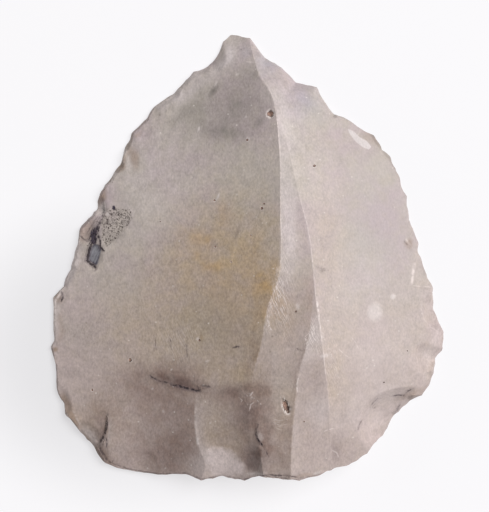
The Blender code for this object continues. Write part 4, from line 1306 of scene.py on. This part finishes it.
def pitted(flint, shade):
    """Pits, brown inside with a pale rim, their outline a little ragged."""
    group = pit_group()
    flat = flint.vector("MULTIPLY", flint.place, (1.0, 1.0, 0.0))[0]
    nearness = FAR_FROM_PITS
    for right, up, radius in PITS:
        inputs = {
            "Place": flat, "Centre": (right * MM, up * MM, 0), "Radius": radius * MM,
            "Before": nearness}
        nearness = flint.add("ShaderNodeGroup", inputs, node_tree=group).outputs[0]
    right, up, half_width, half_height, turn = LONG_PIT
    long_pit = flint.spot(flat, right * MM, up * MM, half_width * MM, half_height * MM, turn)
    nearness = flint.sums("MINIMUM", nearness, flint.vector("LENGTH", long_pit)["Value"])
    nearness = flint.times_plus(flint.ragged, 0.8, nearness)
    pits = flint.ramp(nearness, 0.6, 1.1, 1.0, 0.0)
    rims = flint.times(
        flint.ramp(nearness, 0.95, 1.15), flint.ramp(nearness, 1.2, 1.7, 0.70, 0.0),
        flint.ramp(flint.gaps, 0.42, 0.60))
    shade = flint.lay(shade, PIT_RIM, rims)
    rust = flint.blend(flint.ramp(flint.mottle, 0.40, 0.54), PIT_BOTTOM, PIT_RUST)
    return flint.lay(shade, rust, pits, 0.9), pits


def worn_at_the_edge(flint, shade):
    """Some of the small scars that trim the edge are paler than the face, and some browner."""
    trimmed = flint.ramp(flint.mark("trim"), -0.02, 0.06)
    tint = flint.mark("trim_tint")
    bare = flint.ramp(flint.mark("tan"), 0.0, 0.4, 1.0, 0.0)
    fresh = flint.ramp(tint, 0.10, 0.45, 0.60, 0.0)
    shade = flint.lay(shade, FRESH_SCAR, trimmed, bare, fresh)
    wear_and_highlight = flint.ramp(tint, 0.55, 0.95, 0.0, 0.5)
    dull = flint.ramp(flint.mark("pale"), 0.05, 0.35, 1.0, 0.0)
    return flint.lay(shade, WORN_SCAR, trimmed, wear_and_highlight, dull)


def grained(flint, shade):
    """Grain over everything, stronger in the stains and calmer on the right."""
    strength = flint.times_plus(flint.mark("olive"), 0.45, 0.84)
    strength = flint.times_plus(flint.mark("mauve"), 0.30, strength)
    strength = flint.times(strength, flint.ramp(flint.mark("calm"), 0.0, 0.9, 1.0, 0.58))
    light = flint.times(flint.from_middle(flint.patches), 0.30)
    light = flint.times_plus(flint.from_middle(flint.mottle), 0.55, light)
    light = flint.times_plus(flint.from_middle(flint.fine), 0.60, light)
    light = flint.times_plus(light, strength, 1.0)
    inputs = {0: shade, "Scale": light}
    return flint.add("ShaderNodeVectorMath", inputs, operation="SCALE").outputs[0]


def flint_material():
    """Waxy pale flint: mottled, stained and clouded, with cracks, pits and a patch of cortex."""
    material = bpy.data.materials.new("flint")
    material.use_nodes = True
    flint = Flint(material.node_tree)
    shade, cortex, hollows = with_cortex(flint, clouded(flint))
    shade, crack_and_step_shadow, scratch, hackle = scratched(flint, flecked(flint, shade))
    shade, pits = pitted(flint, shade)
    shade = grained(flint, worn_at_the_edge(flint, shade))

    relief = flint.times(flint.fine, GRAIN_RELIEF)
    for mask, height in ((hackle, HACKLE_RELIEF), (scratch, SCRATCH_RELIEF), (crack_and_step_shadow, -CRACK_DEPTH),
                         (hollows, -HOLE_DEPTH), (pits, -PIT_DEPTH)):
        relief = flint.times_plus(mask, height, relief)
    bump = flint.add("ShaderNodeBump", {"Strength": 1.0, "Distance": 1.0, "Height": relief})
    dull = flint.ramp(flint.mottle, 0.3, 0.7, 0.50, 0.66)

    shader = flint.tree.nodes["Principled BSDF"]
    flint.tree.links.new(shade, shader.inputs["Base Color"])
    flint.tree.links.new(bump.outputs[0], shader.inputs["Normal"])
    flint.tree.links.new(flint.times_plus(cortex, 0.2, dull), shader.inputs["Roughness"])
    shader.inputs["Specular IOR Level"].default_value = FLINT_SHINE
    return material


def light_table_material():
    """A pale table that glows a little, as if lit from below, so that shadows on it stay faint."""
    material = bpy.data.materials.new("light_table")
    material.use_nodes = True
    table = Paint(material.node_tree)
    shader = table.tree.nodes["Principled BSDF"]
    for name, value in (("Base Color", (*TABLE_COLOUR, 1)), ("Roughness", 0.7),
                        ("Specular IOR Level", 0.1), ("Emission Color", (*TABLE_LIGHT, 1))):
        shader.inputs[name].default_value = value
    place = table.add("ShaderNodeTexCoord").outputs["Object"]
    # The glow is dimmer at a spot on the lower left: a painted shadow of the flake
    away = table.vector("LENGTH", table.spot(place, *PAINTED_SHADOW_SPOT))["Value"]
    glow = table.ramp(away, 0.40, 1.0, *TABLE_GLOW)
    table.tree.links.new(glow, shader.inputs["Emission Strength"])
    return material


def put(name, data):
    """Place new data in the scene as an object."""
    thing = bpy.data.objects.new(name, data)
    bpy.context.scene.collection.objects.link(thing)
    return thing


def make_flake():
    flake = put("flint_flake", flake_mesh())
    flake.data.materials.append(flint_material())
    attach(flake, "root")
    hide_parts("flint_point")


def make_floor():
    bm = bmesh.new()
    bmesh.ops.create_grid(bm, x_segments=1, y_segments=1, size=FLOOR_SIZE)
    mesh = bpy.data.meshes.new("floor")
    bm.to_mesh(mesh)
    bm.free()
    floor = put("floor", mesh)
    floor.data.materials.append(light_table_material())


def make_light():
    """A wide soft lamp to the right, a dim one to the left and a dim even sky."""
    for name, direction, size, power in LAMPS:
        lamp = bpy.data.lights.new(name, "AREA")
        lamp.shape = "DISK"
        lamp.size = size
        lamp.energy = power
        direction = Vector(direction).normalized()
        shown = put(name, lamp)
        shown.location = direction * LAMP_DISTANCE
        shown.rotation_euler = direction.to_track_quat("Z", "Y").to_euler()
    world = bpy.data.worlds.new("studio")
    world.use_nodes = True
    sky = world.node_tree.nodes["Background"]
    sky.inputs["Color"].default_value = (1, 1, 1, 1)
    sky.inputs["Strength"].default_value = SKY_STRENGTH
    bpy.context.scene.world = world


def make_camera():
    """Straight above the flake, with a long lens, framed as the photograph is."""
    camera = bpy.data.cameras.new("camera")
    camera.sensor_width = SENSOR
    camera.lens = LENS
    camera.clip_end = 10
    view = put("camera", camera)
    view.location = (*VIEW_CENTRE, FRAME_HEIGHT * LENS / SENSOR)
    bpy.context.scene.camera = view


make_flake()
make_floor()
make_light()
make_camera()
bpy.context.scene.view_settings.view_transform = "Standard"
